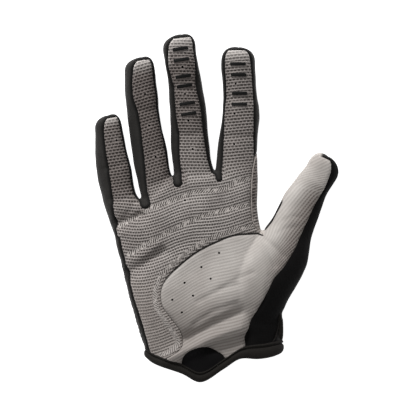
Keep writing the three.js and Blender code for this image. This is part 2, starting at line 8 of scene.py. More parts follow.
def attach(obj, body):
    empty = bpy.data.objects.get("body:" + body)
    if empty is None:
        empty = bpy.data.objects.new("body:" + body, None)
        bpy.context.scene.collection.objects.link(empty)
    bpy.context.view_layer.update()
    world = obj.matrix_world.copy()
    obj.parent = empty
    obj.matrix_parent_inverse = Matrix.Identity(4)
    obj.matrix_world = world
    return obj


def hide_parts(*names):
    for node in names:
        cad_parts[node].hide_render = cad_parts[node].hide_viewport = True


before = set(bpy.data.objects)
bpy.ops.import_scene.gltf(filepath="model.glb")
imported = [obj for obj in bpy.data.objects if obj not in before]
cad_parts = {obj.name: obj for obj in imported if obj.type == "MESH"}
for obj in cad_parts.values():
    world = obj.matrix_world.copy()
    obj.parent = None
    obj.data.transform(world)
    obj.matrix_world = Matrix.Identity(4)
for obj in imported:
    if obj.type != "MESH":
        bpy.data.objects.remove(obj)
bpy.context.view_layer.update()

# ---------------------------------------------------------------- camera, light, floor
# The glove lies on its back on a white table and is seen from straight above, its
# fingers up the picture. The picture is 260 mm wide where the glove is widest.
VIEW_MIDDLE = (-5.6, -0.3)
VIEW_WIDTH = 260
VIEW_HEIGHT = 1300
WIDEST_LEVEL = 8
SENSOR_WIDTH = 36

scene = bpy.context.scene
bpy.ops.object.select_all(action="DESELECT")
bpy.ops.object.camera_add(
    location=(VIEW_MIDDLE[0] / 1000, VIEW_MIDDLE[1] / 1000, (VIEW_HEIGHT + WIDEST_LEVEL) / 1000),
    rotation=(0, 0, 0),
)
camera = bpy.context.object
camera.name = "camera"
camera.data.sensor_width = SENSOR_WIDTH
camera.data.lens = SENSOR_WIDTH * VIEW_HEIGHT / VIEW_WIDTH
scene.camera = camera
scene.view_settings.view_transform = "Standard"
scene.view_settings.look = "None"

world = bpy.data.worlds.new("studio")
scene.world = world
world.use_nodes = True
sky = world.node_tree.nodes["Background"].inputs
sky["Color"].default_value = (1, 1, 1, 1)
sky["Strength"].default_value = 0.3


def add_lamp(name, place, aim, size, watts):
    bpy.ops.object.light_add(type="AREA", location=place)
    lamp = bpy.context.object
    lamp.name = name
    lamp.data.shape = "RECTANGLE"
    lamp.data.size, lamp.data.size_y = size
    lamp.data.energy = watts
    lamp.rotation_euler = (Vector(aim) - Vector(place)).to_track_quat("-Z", "Y").to_euler()


add_lamp("window_light", (-0.4, 1.15, 0.72), (0, 0, 0), (0.5, 0.3), 19)
add_lamp("side_light", (-0.9, -0.1, 0.9), (0, 0, 0), (0.6, 0.6), 2)

bpy.ops.mesh.primitive_plane_add(size=6, location=(0, 0, 0))
table = bpy.context.object
table.name = "table"
table_paint = bpy.data.materials.new("white_table")
table_paint.use_nodes = True
for socket, value in (
    ("Base Color", (0.95, 0.95, 0.95, 1)), ("Roughness", 0.9), ("Specular IOR Level", 0),
    ("Emission Color", (1, 1, 1, 1)), ("Emission Strength", 0.9),
):
    table_paint.node_tree.nodes["Principled BSDF"].inputs[socket].default_value = value
table.data.materials.append(table_paint)

# ---------------------------------------------------------------- the cloth skin
# The glove is sewn from flat panels that together make one hollow skin. The skin is
# formed whole, from the cross-sections of the palm and of each digit, and cut later.
# Lengths are millimetres, from the wrist line and the middle of the palm.
PALM_WIDTH = 92
PALM_LENGTH = 108
PALM_THICKNESS = 25
CLOTH = 1.2
BACK_SEAM_HEIGHT = 5
SEAM_MARGIN = 0.5
TIP_SEAM_INSET = 1.8
TIP_SEAM_ROUND = 0.1
TIP_SEAM_POINT = 0.75
CURL_LIFT = 7
CURL_START = 0.2
WEB_DOME = 7
MIDDLE = (-0.138, 91.67)
WAIST_SHARE = 0.45
TOP_POWER = 2.3
UNDER_POWER = 2.6
UNDER_REACH = 1.4
DOME_POWER = 2.4
DOME_CLOSED = 0.985
WEB_SINK, WEB_NARROWING = 0.85, 0.04
HEM_START = -0.14
AROUND_PALM, PALM_ROWS, WEB_ROWS = 128, 96, 8
AROUND_DIGIT, DIGIT_ROWS, DOME_ROWS = 72, 64, 10


def columns(names, *rows):
    return {name: np.array(values, float) for name, values in zip(names.split(), zip(*rows))}


# A digit's length, width, thickness and lean in millimetres and degrees, its root as shares
# of the palm, where its dome begins, how far its tip leans over, and its cross-sections.
def digit_table(length, width, thickness, lean, root, dome, tip_shift, *rows):
    return dict(
        length=length, width=width, thickness=thickness, lean=lean, root=root, dome=dome,
        tip_shift=tip_shift, rows=columns("along left right seam_left seam_right top", *rows),
    )


LITTLE = digit_table(
    60, 19, 15, -10, (-0.632, 0.837), 0.86, 0.08,
    (-0.26, -0.44, 0.44, -0.36, 0.4, 1.3),
    (0, -0.56, 0.62, -0.34, 0.57, 1.26),
    (0.15, -0.63, 0.46, -0.29, 0.42, 1.1),
    (0.36, -0.66, 0.45, -0.25, 0.42, 1),
    (0.6, -0.62, 0.41, -0.25, 0.38, 0.97),
    (0.86, -0.48, 0.4, -0.2, 0.36, 0.9),
)
RING = digit_table(
    87, 21, 17, -8.2, (-0.374, 0.919), 0.9, 0.1,
    (-0.3, -0.44, 0.44, -0.4, 0.4, 1.25),
    (0, -0.6, 0.52, -0.42, 0.38, 1.2),
    (0.12, -0.65, 0.35, -0.4, 0.32, 1.08),
    (0.34, -0.7, 0.32, -0.35, 0.29, 1),
    (0.6, -0.68, 0.25, -0.34, 0.22, 0.94),
    (0.72, -0.66, 0.28, -0.43, 0.25, 0.97),
    (0.9, -0.58, 0.32, -0.36, 0.27, 0.9),
)
LONG = digit_table(
    93, 22, 18, -6.6, (-0.122, 0.988), 0.91, 0.12,
    (-0.3, -0.44, 0.44, -0.42, 0.4, 1.2),
    (0, -0.64, 0.5, -0.48, 0.42, 1.16),
    (0.14, -0.675, 0.4, -0.48, 0.33, 1.05),
    (0.34, -0.65, 0.4, -0.41, 0.29, 0.98),
    (0.5, -0.58, 0.43, -0.44, 0.3, 1),
    (0.66, -0.54, 0.38, -0.42, 0.23, 0.93),
    (0.8, -0.55, 0.35, -0.49, 0.29, 0.97),
    (0.91, -0.57, 0.34, -0.46, 0.28, 0.9),
)
INDEX = digit_table(
    83.5, 22.5, 18, 0, (0.142, 1), 0.89, -0.03,
    (-0.3, -0.44, 0.5, -0.42, 0.4, 1.2),
    (0, -0.6, 0.53, -0.47, 0.4, 1.16),
    (0.14, -0.6, 0.52, -0.45, 0.44, 1.05),
    (0.3, -0.53, 0.53, -0.42, 0.44, 1),
    (0.5, -0.43, 0.58, -0.4, 0.43, 1),
    (0.64, -0.4, 0.52, -0.35, 0.42, 0.94),
    (0.89, -0.46, 0.45, -0.39, 0.36, 0.9),
)
THUMB = digit_table(
    116, 26, 20, 25, (0.224, 0.172), 0.91, -0.07,
    (0, -0.45, 0.5, -0.4, -0.1, 1.1),
    (0.14, -0.8, 0.56, -0.6, -0.13, 1.35),
    (0.25, -0.95, 0.57, -0.8, -0.04, 1.42),
    (0.36, -0.9, 0.62, -0.9, 0.12, 1.36),
    (0.46, -0.72, 0.57, -0.72, 0.18, 1.22),
    (0.56, -0.6, 0.45, -0.6, 0.19, 1.08),
    (0.72, -0.56, 0.37, -0.56, 0.18, 0.96),
    (0.82, -0.47, 0.34, -0.47, 0.23, 0.92),
    (0.91, -0.38, 0.4, -0.38, 0.24, 0.85),
)
DIGITS = [LITTLE, RING, LONG, INDEX, THUMB]
NEIGHBOURS = list(zip([None] + DIGITS, DIGITS))
PALM = columns(
    "up left right seam_left seam_right top",
    (0, -0.484, 0.44, -0.451, 0.185, 0.88),
    (0.15, -0.535, 0.44, -0.498, 0.215, 0.98),
    (0.3, -0.57, 0.415, -0.54, 0.28, 1.08),
    (0.5, -0.615, 0.35, -0.588, 0.29, 1.1),
    (0.7, -0.65, 0.295, -0.624, 0.26, 1.04),
    (0.85, -0.68, 0.272, -0.65, 0.25, 1),
    (1, -0.7, 0.268, -0.672, 0.25, 0.94),
)
HEM = columns(
    "across palm_side back_side",
    (-0.5, 0.045, 0.045),
    (-0.43, 0.005, 0.03),
    (-0.24, -0.05, 0.028),
    (-0.11, -0.098, 0.028),
    (0.04, -0.025, 0.028),
    (0.17, 0.045, 0.028),
    (0.34, 0.066, 0.038),
    (0.44, 0.085, 0.07),
)
WEB = columns(
    "across up",
    (-0.74, 0.7), (-0.53, 0.832), (-0.478, 0.84), (-0.31, 0.962), (-0.262, 0.975),
    (0.02, 0.985), (0.3, 0.97),
)
# Pads rise and hollows sink: across, up, their reach both ways, and the rise.
PADS = [
    (-0.42, 0.3, 0.17, 0.26, 3),
    (-0.13, 0.5, 0.22, 0.17, -4.5),
    (0.13, 0.42, 0.2, 0.22, 2.5),
    (-0.57, 0.7, 0.1, 0.07, 1.2),
    (-0.37, 0.8, 0.1, 0.08, 1.4),
    (-0.12, 0.83, 0.1, 0.09, 1.6),
    (0.13, 0.84, 0.1, 0.09, 1.4),
]
# Folds: half their width, their rise, and the line that they follow.
FOLDS = [
    (3.4, -2.6, [(-0.71, 0.763), (-0.51, 0.805)]),
    (4.6, -3, [(-0.66, 0.435), (-0.56, 0.49), (-0.37, 0.598)]),
    (4, 1, [(-0.56, 0.57), (-0.36, 0.68)]),
    (4, -2.4, [(-0.2, 0.105), (0.15, 0.262)]),
    (4.2, 3, [(-0.33, -0.005), (0.16, 0.166)]),
    (4, -2.4, [(-0.06, 0.052), (0.19, 0.115)]),
    (2.6, -1, [(-0.64, 0.74), (-0.39, 0.87), (-0.15, 0.94), (0.22, 1.01)]),
    (2.6, -1.2, [(-0.59, 0.58), (-0.39, 0.68), (-0.2, 0.77), (-0.03, 0.82), (0.2, 0.87)]),
]


def read(rows, key, column, place):
    at, value = rows[key], rows[column]
    low = np.maximum(np.arange(len(at)) - 1, 0)
    high = np.minimum(np.arange(len(at)) + 1, len(at) - 1)
    slope = (value[high] - value[low]) / (at[high] - at[low])
    place = np.clip(place, at[0], at[-1])
    i = np.clip(np.searchsorted(at, place, side="right") - 1, 0, len(at) - 2)
    span = at[i + 1] - at[i]
    t = (place - at[i]) / span
    return (
        value[i] * (1 + 2 * t) * (1 - t) ** 2
        + slope[i] * span * t * (1 - t) ** 2
        + value[i + 1] * t * t * (3 - 2 * t)
        + slope[i + 1] * span * t * t * (t - 1)
    )


def smooth(value, low, high):
    t = np.clip((value - low) / (high - low), 0, 1)
    return t * t * (3 - 2 * t)


# The nearest point of a line of points: how far it is, to the left or right of the
# line's run, and how far along the line it lies.
def along_line(x, y, line):
    line = np.array(line, float)
    best = np.full(np.shape(x), 1e9)
    side = np.ones(np.shape(x))
    run = np.zeros(np.shape(x))
    start = 0.0
    for a, b in zip(line[:-1], line[1:]):
        step = b - a
        size = math.hypot(*step)
        t = np.clip(((x - a[0]) * step[0] + (y - a[1]) * step[1]) / size**2, 0, 1)
        away = np.hypot(x - a[0] - t * step[0], y - a[1] - t * step[1])
        turn = step[0] * (y - a[1]) - step[1] * (x - a[0])
        nearer = away < best
        best = np.where(nearer, away, best)
        side = np.where(nearer, np.sign(turn), side)
        run = np.where(nearer, start + t * size, run)
        start += size
    return best, side, run


def in_mm(points):
    return [(across * PALM_WIDTH, up * PALM_LENGTH) for across, up in points]


def relief(x, y):
    rise = np.zeros(np.shape(x))
    for across, up, spread_across, spread_up, height in PADS:
        dx = (x - across * PALM_WIDTH) / (spread_across * PALM_WIDTH)
        dy = (y - up * PALM_LENGTH) / (spread_up * PALM_LENGTH)
        rise += height * np.exp(-dx * dx - dy * dy)
    for half, height, path in FOLDS:
        rise += height * np.exp(-((along_line(x, y, in_mm(path))[0] / half) ** 2))
    return rise


def power(value, exponent):
    return np.sign(value) * np.abs(value) ** (2 / exponent)


def section_ring(section, around):
    left, right, ridge, top, share, across_share = section
    angle = np.linspace(0, 2 * math.pi, around, endpoint=False)
    upper = angle <= math.pi
    waist = WAIST_SHARE * top
    reach = np.where(np.cos(angle) > 0, right - ridge, ridge - left)
    exponent = np.where(upper, TOP_POWER, UNDER_POWER)
    across = ridge + across_share * reach * power(np.cos(angle), exponent)
    swing = power(np.sin(angle), exponent)
    height = np.where(
        upper,
        waist + share * (top - waist) * swing,
        waist + share * np.maximum(waist * UNDER_REACH * swing, -waist),
    )
    return across, height, np.where(upper, share * np.sin(angle), 0)


def palm_section(up, grow=0.0):
    left = PALM_WIDTH * read(PALM, "up", "left", up) - grow
    right = PALM_WIDTH * read(PALM, "up", "right", up) + grow
    top = PALM_THICKNESS * read(PALM, "up", "top", up) + grow
    return left, right, (left + right) / 2, top


def hem_height(x, z, top):
    palm_side = smooth(z, 0.2 * top, 0.8 * top)
    back = read(HEM, "across", "back_side", x / PALM_WIDTH)
    front = read(HEM, "across", "palm_side", x / PALM_WIDTH)
    return PALM_LENGTH * (back + (front - back) * palm_side)


def web_height(x):
    return PALM_LENGTH * read(WEB, "across", "up", x / PALM_WIDTH)


def palm_ring(up, around, grow=0.0, past=0.0, share=1.0):
    left, right, ridge, top = palm_section(up, grow)
    section = (left, right, ridge, top, 1 - (1 - share) * WEB_SINK, 1 - (1 - share) * WEB_NARROWING)
    across, height, upness = section_ring(section, around)
    plain = ridge + (across - ridge) * (right - ridge - grow) / (right - ridge)
    hem = hem_height(plain, height, top)
    y = hem + (web_height(plain) - hem) * up + past
    return np.stack([across, y, height + relief(across, y) * upness], axis=-1)


def digit_frame(digit):
    lean = math.radians(digit["lean"])
    root = np.array([digit["root"][0] * PALM_WIDTH, digit["root"][1] * PALM_LENGTH])
    run = np.array([math.sin(lean), math.cos(lean)])
    return root, run, np.array([run[1], -run[0]])


def digit_section(digit, share_along):
    size = {
        name: digit["width"] * read(digit["rows"], "along", name, share_along)
        for name in ("left", "right", "seam_left", "seam_right")
    }
    size["top"] = digit["thickness"] * read(digit["rows"], "along", "top", share_along)
    size["ridge"] = (size["seam_left"] + size["seam_right"]) / 2
    return size


def digit_ring(digit, share_along, past, share, around):
    root, run, side = digit_frame(digit)
    size = digit_section(digit, share_along)
    across, height, upness = section_ring(
        (size["left"], size["right"], size["ridge"], size["top"], share, share), around
    )
    across = across + digit["width"] * digit["tip_shift"] * (1 - share)
    plan = root + np.outer(np.full(around, share_along * digit["length"] + past), run)
    plan = plan + np.outer(across, side)
    rise = relief(plan[:, 0], plan[:, 1]) * upness
    return np.column_stack([plan, height + rise])


# A sheet laid through rings of points, then sewn to itself as a tube.
def ring_sheet(name, rings):
    rows, around = rings.shape[:2]
    bpy.ops.object.select_all(action="DESELECT")
    bpy.ops.mesh.primitive_grid_add(x_subdivisions=around, y_subdivisions=rows - 1, size=1)
    sheet = bpy.context.object
    sheet.name = name
    sheet.data.vertices.foreach_set("co", np.concatenate([rings, rings[:, :1]], axis=1).reshape(-1))
    return sheet


def sew(ends_open=False):
    bpy.ops.object.mode_set(mode="EDIT")
    bpy.ops.mesh.select_all(action="SELECT")
    bpy.ops.mesh.remove_doubles(threshold=0.001)
    if not ends_open:
        bpy.ops.mesh.fill_holes(sides=0)
    bpy.ops.mesh.normals_make_consistent(inside=False)
    bpy.ops.object.mode_set(mode="OBJECT")


def limb(name, rings):
    tube = ring_sheet(name, np.array(rings))
    sew()
    return tube


def dome_reaches(count):
    return np.sin(np.linspace(0, math.pi / 2, count + 1)[1:] * DOME_CLOSED)


rings = [palm_ring(up, AROUND_PALM) for up in np.linspace(HEM_START, 1, PALM_ROWS)]
rings += [
    palm_ring(1, AROUND_PALM, past=WEB_DOME * reach, share=math.sqrt(1 - reach * reach))
    for reach in dome_reaches(WEB_ROWS)
]
limbs = [limb("palm_form", rings)]
for digit in DIGITS:
    start = digit["rows"]["along"][0]
    rings = [
        digit_ring(digit, along, 0, 1, AROUND_DIGIT)
        for along in np.linspace(start, digit["dome"], DIGIT_ROWS)
    ]
    dome_length = (1 - digit["dome"]) * digit["length"]
    for reach in dome_reaches(DOME_ROWS):
        share = (1 - reach**DOME_POWER) ** (1 / DOME_POWER)
        rings.append(digit_ring(digit, digit["dome"], dome_length * reach, share, AROUND_DIGIT))
    limbs.append(limb("digit_form", rings))


def select_only(*pieces):
    bpy.ops.object.select_all(action="DESELECT")
    for piece in pieces:
        piece.select_set(True)
    bpy.context.view_layer.objects.active = pieces[0]


select_only(*limbs)
bpy.ops.object.join()
skin = bpy.context.object
skin.name = "glove_skin"


def apply_modifier(piece, name, kind, **settings):
    select_only(piece)
    modifier = piece.modifiers.new(name, kind)
    for key, value in settings.items():
        setattr(modifier, key, value)
    bpy.ops.object.modifier_apply(modifier=name)


apply_modifier(skin, "one_skin", "REMESH", mode="VOXEL", voxel_size=0.85, use_smooth_shade=True)
apply_modifier(skin, "even_skin", "SMOOTH", factor=0.5, iterations=8)


def places_of(piece, kind="co"):
    flat = np.empty(len(piece.data.vertices) * 3)
    piece.data.vertices.foreach_get(kind, flat)
    return flat.reshape(-1, 3)


def normals_of(piece):
    return places_of(piece, "normal")


def place_all(piece, places):
    piece.data.vertices.foreach_set("co", np.ascontiguousarray(places).reshape(-1))
    piece.data.update()


# Small creases that the wear of a hand leaves, in the picture's millimetres: half their
# width, their rise, and their line. They are pressed in as vertex moves.
CREASES = [
    (2.2, -1.5, [(-64, -10.2), (-55, -7.6), (-47, -4.6)]),
    (1.6, -0.5, [(-60, -13.5), (-52, -12), (-46, -9)]),
    (2.0, -1.2, [(-56.5, -40.8), (-47, -36.2), (-38, -29.5), (-33.5, -26.8)]),
    (1.6, 0.5, [(-56, -34.2), (-46, -30), (-36, -22.5)]),
    (1.8, -0.6, [(-57, -44), (-50, -42.5), (-45, -39)]),
    (2.2, -1.2, [(-19, -81.5), (-7, -74.5), (4, -68.5), (14, -65)]),
    (2.0, -0.8, [(-14, -72), (-2, -64), (12, -59)]),
    (2.4, 1.0, [(-31, -94), (-20, -89.5), (-8, -83.5), (4, -78.5), (15, -75)]),
    (2.4, -1.2, [(-5, -88), (5, -85), (15, -81)]),
    (1.7, -0.7, [(-12, -58), (0, -51.5), (12, -47.5)]),
    (1.5, -0.5, [(2, -50), (14, -43), (22, -40)]),
    (1.5, -0.9, [(27.5, -19), (32, -27), (35.5, -36)]),
    (1.3, -0.8, [(29.5, -19.5), (36.5, -25), (41, -30)]),
    (1.3, 0.4, [(26, -20), (28, -30), (31, -40)]),
    (1.5, -0.4, [(24, -19), (21, -28), (16, -36)]),
    (1.4, -0.35, [(37, -16), (42, -13), (49, -12)]),
    (1.4, -0.35, [(41, -8), (46, -5.5), (52, -6)]),
    (1.6, -0.5, [(-62, -4), (-56, -4), (-50, -0.5)]),
    (1.8, -0.7, [(-37.5, 36), (-33, 37), (-28, 40)]),
    (1.8, -0.6, [(-48, 60), (-42, 60), (-37, 62)]),
    (1.8, -0.7, [(-24, 46), (-18, 45), (-11, 46)]),
    (1.8, -0.6, [(-28, 74), (-20, 73.5), (-14, 74)]),
    (1.8, -0.7, [(4, 44), (12, 44.5), (22, 44)]),
    (1.8, -0.6, [(4, 68), (12, 68.5), (22, 68)]),
    (1.6, -0.6, [(-70, 24), (-64, 25), (-57, 28)]),
    (2.0, -0.8, [(-41, 14), (-34, 17), (-28, 21)]),
    (2.0, -0.8, [(-66, 5), (-60, 5), (-52, 7.5)]),
    (1.6, -0.5, [(26, -62), (30, -56), (31, -47)]),
]


GROW_BACK = 0.3
ROUGHNESS_HEIGHT = 0.46


def press(places, normals):
    x, y = places[:, 0] - MIDDLE[0], places[:, 1] - MIDDLE[1]
    facing = np.clip(normals[:, 2], 0, 1) * smooth(places[:, 2], 5, 9)
    move = np.zeros(len(places))
    for half, rise, path in CREASES:
        move += rise * np.exp(-((along_line(x, y, path)[0] / half) ** 2))
    rough = np.array(
        [
            noise.noise(Vector((px / 17, py / 13, pz / 15)))
            + 0.45 * noise.noise(Vector((px / 7 + 40, py / 6, pz / 8)))
            for px, py, pz in places
        ]
    )
    lift = move * facing + ROUGHNESS_HEIGHT * rough * smooth(places[:, 2], 0.5, 6)
    return places + normals * lift[:, None]


place_all(skin, places_of(skin) + normals_of(skin) * GROW_BACK)
place_all(skin, press(places_of(skin), normals_of(skin)))

# ---------------------------------------------------------------- cutting the panels
# Each panel is bounded by its seams. A seam is the line where a measure of the skin,
# such as the distance to the line drawn on the cloth, passes through nothing.
OVERLAY_EDGE = [
    (0.275, 0.7), (0.115, 0.689), (-0.015, 0.647), (-0.136, 0.593), (-0.24, 0.526),
    (-0.327, 0.455), (-0.375, 0.383), (-0.372, 0.294), (-0.327, 0.235), (-0.25, 0.145),
    (-0.228, 0.085), (-0.262, 0.03), (-0.345, -0.018),
]
GUSSET_SEAM = [
    (0.36, 1.2), (0.272, 1.16), (0.25, 1.107), (0.236, 1.03), (0.23, 0.92), (0.235, 0.806),
    (0.248, 0.752), (0.31, 0.69),
]
SIDE_LEVEL, FRONT_EDGE = 4, -1.5
THUMB_SPACE = [(0.31, 0.69), (0.33, 0.8), (0.37, 1), (0.42, 2.2)]
INSERT = dict(middle=(-0.088, -0.05), half_width=0.152, height=0.097)
CORNER_SEAM = [(0.5, 0.26), (0.44, 0.206), (0.41, 0.14), (0.387, 0.085), (0.38, -0.2)]
FAR = 900


# A drawn line, rounded through its points.
def rounded(points, steps=6):
    points = np.array(points, float)
    ends = np.vstack([2 * points[0] - points[1], points, 2 * points[-1] - points[-2]])
    line = []
    for a, b, c, d in zip(ends[:-3], ends[1:-2], ends[2:-1], ends[3:]):
        for t in np.linspace(0, 1, steps, endpoint=False):
            line.append(
                0.5 * (2 * b + (c - a) * t + (2 * a - 5 * b + 4 * c - d) * t**2
                       + (3 * b - a - 3 * c + d) * t**3)
            )
    return [tuple(p) for p in line] + [tuple(points[-1])]


def inside_area(x, y, outline):
    within = np.zeros(np.shape(x), bool)
    for (ax, ay), (bx, by) in zip(outline, outline[1:] + outline[:1]):
        crosses = (ay > y) != (by > y)
        with np.errstate(divide="ignore", invalid="ignore"):
            within ^= crosses & (x < (bx - ax) * (y - ay) / (by - ay) + ax)
    return within


# Less than nothing inside the outline, and the distance to it.
def area_measure(p, outline):
    x, y = p[:, 0], p[:, 1]
    away = along_line(x, y, outline + outline[:1])[0]
    return np.where(inside_area(x, y, outline), -away, away)


def fan_measure(across, height, size, share):
    waist = WAIST_SHARE * size["top"]
    worst = waist - height
    for sign, seam, edge in ((1, "seam_right", "right"), (-1, "seam_left", "left")):
        span = np.abs(size[edge] - size["ridge"])
        reach = np.minimum(np.abs(size[seam] - size["ridge"]), span - SEAM_MARGIN)
        rise = (size["top"] - waist) * (1 - (reach / span) ** TOP_POWER) ** (1 / TOP_POWER)
        depth = np.minimum(0.8 * reach, 0.4 * size["top"])
        out_x, out_y = share * depth, share * rise
        apex = size["ridge"] + sign * share * (reach - depth)
        turn = (across - apex) * sign * out_y - (height - waist) * out_x
        worst = np.maximum(worst, turn / np.hypot(out_x, out_y))
        worst = np.maximum(worst, sign * (across - size["ridge"]) - span - 1.5)
    return worst


def palm_front(p):
    x, y, z = p.T
    top = palm_section(0.4)[3]
    hem = hem_height(x, z, top)
    up = (y - hem) / (web_height(x) - hem)
    left, right, ridge, top = palm_section(up)
    size = {
        "left": left, "right": right, "ridge": ridge, "top": top,
        "seam_left": PALM_WIDTH * read(PALM, "up", "seam_left", up),
        "seam_right": PALM_WIDTH * read(PALM, "up", "seam_right", up),
    }
    return np.maximum(fan_measure(x, z, size, 1.0), y - web_height(x) - 0.4)


def digit_front(p, digit):
    root, run, side = digit_frame(digit)
    along = (p[:, :2] - root) @ run
    length = digit["length"]
    size = digit_section(digit, along / length)
    dome_start = (digit["dome"] - TIP_SEAM_ROUND) * length
    reach = np.clip((along - dome_start) / (length - TIP_SEAM_INSET - dome_start), 0, 0.999)
    share = (1 - reach * reach) ** TIP_SEAM_POINT
    across = (p[:, :2] - root) @ side - digit["width"] * digit["tip_shift"] * (1 - share)
    measure = fan_measure(across, p[:, 2], size, np.maximum(share, 0.04))
    measure = np.maximum(measure, along - (length - TIP_SEAM_INSET))
    return np.maximum(measure, digit["rows"]["along"][0] * length - along)


# Between two fingers the side strips run down to a rounded end: half the width of its
# end, and its middle line.
CROTCHES = [
    (3.3, [(-44.6, 2.3), (-46.8, 9), (-48.3, 16)]),
    (2.9, [(-24.3, 15.4), (-25.3, 22), (-26.6, 30)]),
    (2.1, [(1.5, 18), (0.5, 22), (-0.6, 29)]),
]


def both(a, b, blend):
    h = np.clip(0.5 + 0.5 * (b - a) / blend, 0, 1)
    return b + (a - b) * h - blend * h * (1 - h)


def front_measure(p):
    measure = palm_front(p)
    for digit in DIGITS:
        measure = both(measure, digit_front(p, digit), 2.4)
    x, y = p[:, 0] - MIDDLE[0], p[:, 1] - MIDDLE[1]
    for half, line in CROTCHES:
        measure = np.maximum(measure, half - along_line(x, y, line)[0])
    return measure


OPEN_SPACE = in_mm(THUMB_SPACE)
OVERLAY_LINE = rounded(in_mm(OVERLAY_EDGE))
GUSSET_LINE = rounded(in_mm(GUSSET_SEAM))
CORNER_LINE = rounded(in_mm(CORNER_SEAM))
PALM_CENTRE = (-0.2 * PALM_WIDTH, 0.4 * PALM_LENGTH)


def overlay_measure(p):
    corners = [(FAR, FAR), (-FAR, FAR), (-FAR, -FAR)]
    return area_measure(p, OVERLAY_LINE[::-1] + OPEN_SPACE + corners)


def gusset_measure(p):
    flat = area_measure(p, GUSSET_LINE + OPEN_SPACE[1:3])
    return np.maximum(flat, BACK_SEAM_HEIGHT - p[:, 2])


def insert_measure(p):
    middle = in_mm([INSERT["middle"]])[0]
    wide = INSERT["half_width"] * PALM_WIDTH
    high = INSERT["height"] * PALM_LENGTH
    x, y = (p[:, 0] - middle[0]) / wide, (p[:, 1] - middle[1]) / high
    return (np.hypot(x, np.maximum(y, 0)) - 1) * high


def back_measure(p):
    corner = area_measure(p, CORNER_LINE + [(0.3 * FAR, -0.3 * FAR)])
    return np.minimum(p[:, 2] - BACK_SEAM_HEIGHT, corner)


def hem_measure(p):
    return p[:, 1] - hem_height(p[:, 0], p[:, 2], palm_section(0.0)[3])


def axis_line(digit):
    root, run, _ = digit_frame(digit)
    start = digit["rows"]["along"][0] * digit["length"]
    return [tuple(root + run * start), tuple(root + run * 3 * digit["length"])]


def between(p, left_digit, right_digit):
    low = (PALM_CENTRE[0], -FAR)
    left = axis_line(left_digit) if left_digit else [low, (-FAR, -FAR), (-FAR, FAR)]
    right = axis_line(right_digit) if right_digit else [low, (FAR, -FAR), (FAR, FAR)]
    return area_measure(p, [PALM_CENTRE] + left + right[::-1])


def index_half(p):
    return area_measure(p, OPEN_SPACE + [(-FAR, FAR), (-FAR, -FAR)])


# Cuts the skin along the line where a measure passes through nothing, sliding the
# corners that already lie close to it.
def cut_along(net, measure, where=None):
    net.verts.ensure_lookup_table()
    net.edges.ensure_lookup_table()
    net.verts.index_update()
    places = np.array([vert.co for vert in net.verts])
    value = measure(places)
    allowed = np.ones(len(places), bool) if where is None else where(places)
    ends = np.array([[edge.verts[0].index, edge.verts[1].index] for edge in net.edges])
    crossing = (value[ends[:, 0]] * value[ends[:, 1]] < 0) & allowed[ends].all(axis=1)
    crossing &= np.abs(value[ends]).max(axis=1) < 6
    on_line = set()
    for i in np.nonzero(crossing)[0]:
        a, b = ends[i]
        if value[a] == 0 or value[b] == 0:
            continue
        t = value[a] / (value[a] - value[b])
        if t < 0.15 or t > 0.85:
            near = a if t < 0.15 else b
            net.verts[near].co = Vector(places[a] + (places[b] - places[a]) * t)
            value[near] = 0
            on_line.add(net.verts[near])
    edges = [net.edges[i] for i in np.nonzero(crossing)[0]]
    for edge, (a, b) in zip(edges, ends[crossing]):
        if value[a] == 0 or value[b] == 0:
            continue
        start = edge.verts[0]
        near, other = (a, b) if start.index == a else (b, a)
        t = value[near] / (value[near] - value[other])
        on_line.add(bmesh.utils.edge_split(edge, start, t)[1])
    faces = {face for vert in on_line for face in vert.link_faces}
    for face in sorted(faces, key=lambda face: tuple(face.calc_center_median())):
        marked = [vert for vert in face.verts if vert in on_line]
        for i, first in enumerate(marked):
            partner = next(
                (v for v in marked[i + 1:] if not any(v in e.verts for e in first.link_edges)),
                None,
            )
            if partner is not None:
                bmesh.utils.face_split(face, first, partner)
                break


PANELS = [
    "index_gusset", "wrist_insert", "palm_panel", "thenar_panel", "back_panel", "ulnar_side",
    "little_ring_fourchette", "ring_middle_fourchette", "middle_index_fourchette",
    "index_side", "thumb_inner_side", "thumb_outer_side",
]


def panel_of(p):
    front = front_measure(p) < 0
    areas = [
        gusset_measure(p) < 0,
        front & (insert_measure(p) < 0),
        front & (overlay_measure(p) < 0),
        front,
        back_measure(p) < 0,
        *(between(p, left_digit, right_digit) < 0 for left_digit, right_digit in NEIGHBOURS[:4]),
        (between(p, INDEX, THUMB) < 0) & (index_half(p) < 0),
        (between(p, INDEX, THUMB) < 0) & (index_half(p) >= 0),
        between(p, THUMB, None) < 0,
    ]
    return np.select(areas, range(len(areas)), default=len(areas) - 1)


for name in PANELS:
    skin.data.materials.append(bpy.data.materials.new(name + "_cut"))
net = bmesh.new()
net.from_mesh(skin.data)
cut_along(net, hem_measure)
net.faces.ensure_lookup_table()
centres = np.array([face.calc_center_median() for face in net.faces])
cut_off = [net.faces[i] for i in np.nonzero(hem_measure(centres) < 0)[0]]
bmesh.ops.delete(net, geom=cut_off, context="FACES")


def high(p):
    return p[:, 2] > 3


def beside_front(p):
    return (p[:, 2] > SIDE_LEVEL) & (front_measure(p) > FRONT_EDGE)


cut_along(net, front_measure, high)
cut_along(net, back_measure)
cut_along(net, gusset_measure, high)
cut_along(net, overlay_measure, lambda p: front_measure(p) < 2)
cut_along(net, insert_measure, lambda p: (front_measure(p) < 2) & (p[:, 1] < 20))
for left_digit, right_digit in NEIGHBOURS:
    cut_along(net, lambda p: between(p, left_digit, right_digit), beside_front)
cut_along(net, index_half, beside_front)
net.faces.ensure_lookup_table()
net.faces.index_update()
centres = np.array([face.calc_center_median() for face in net.faces])
label = panel_of(centres)

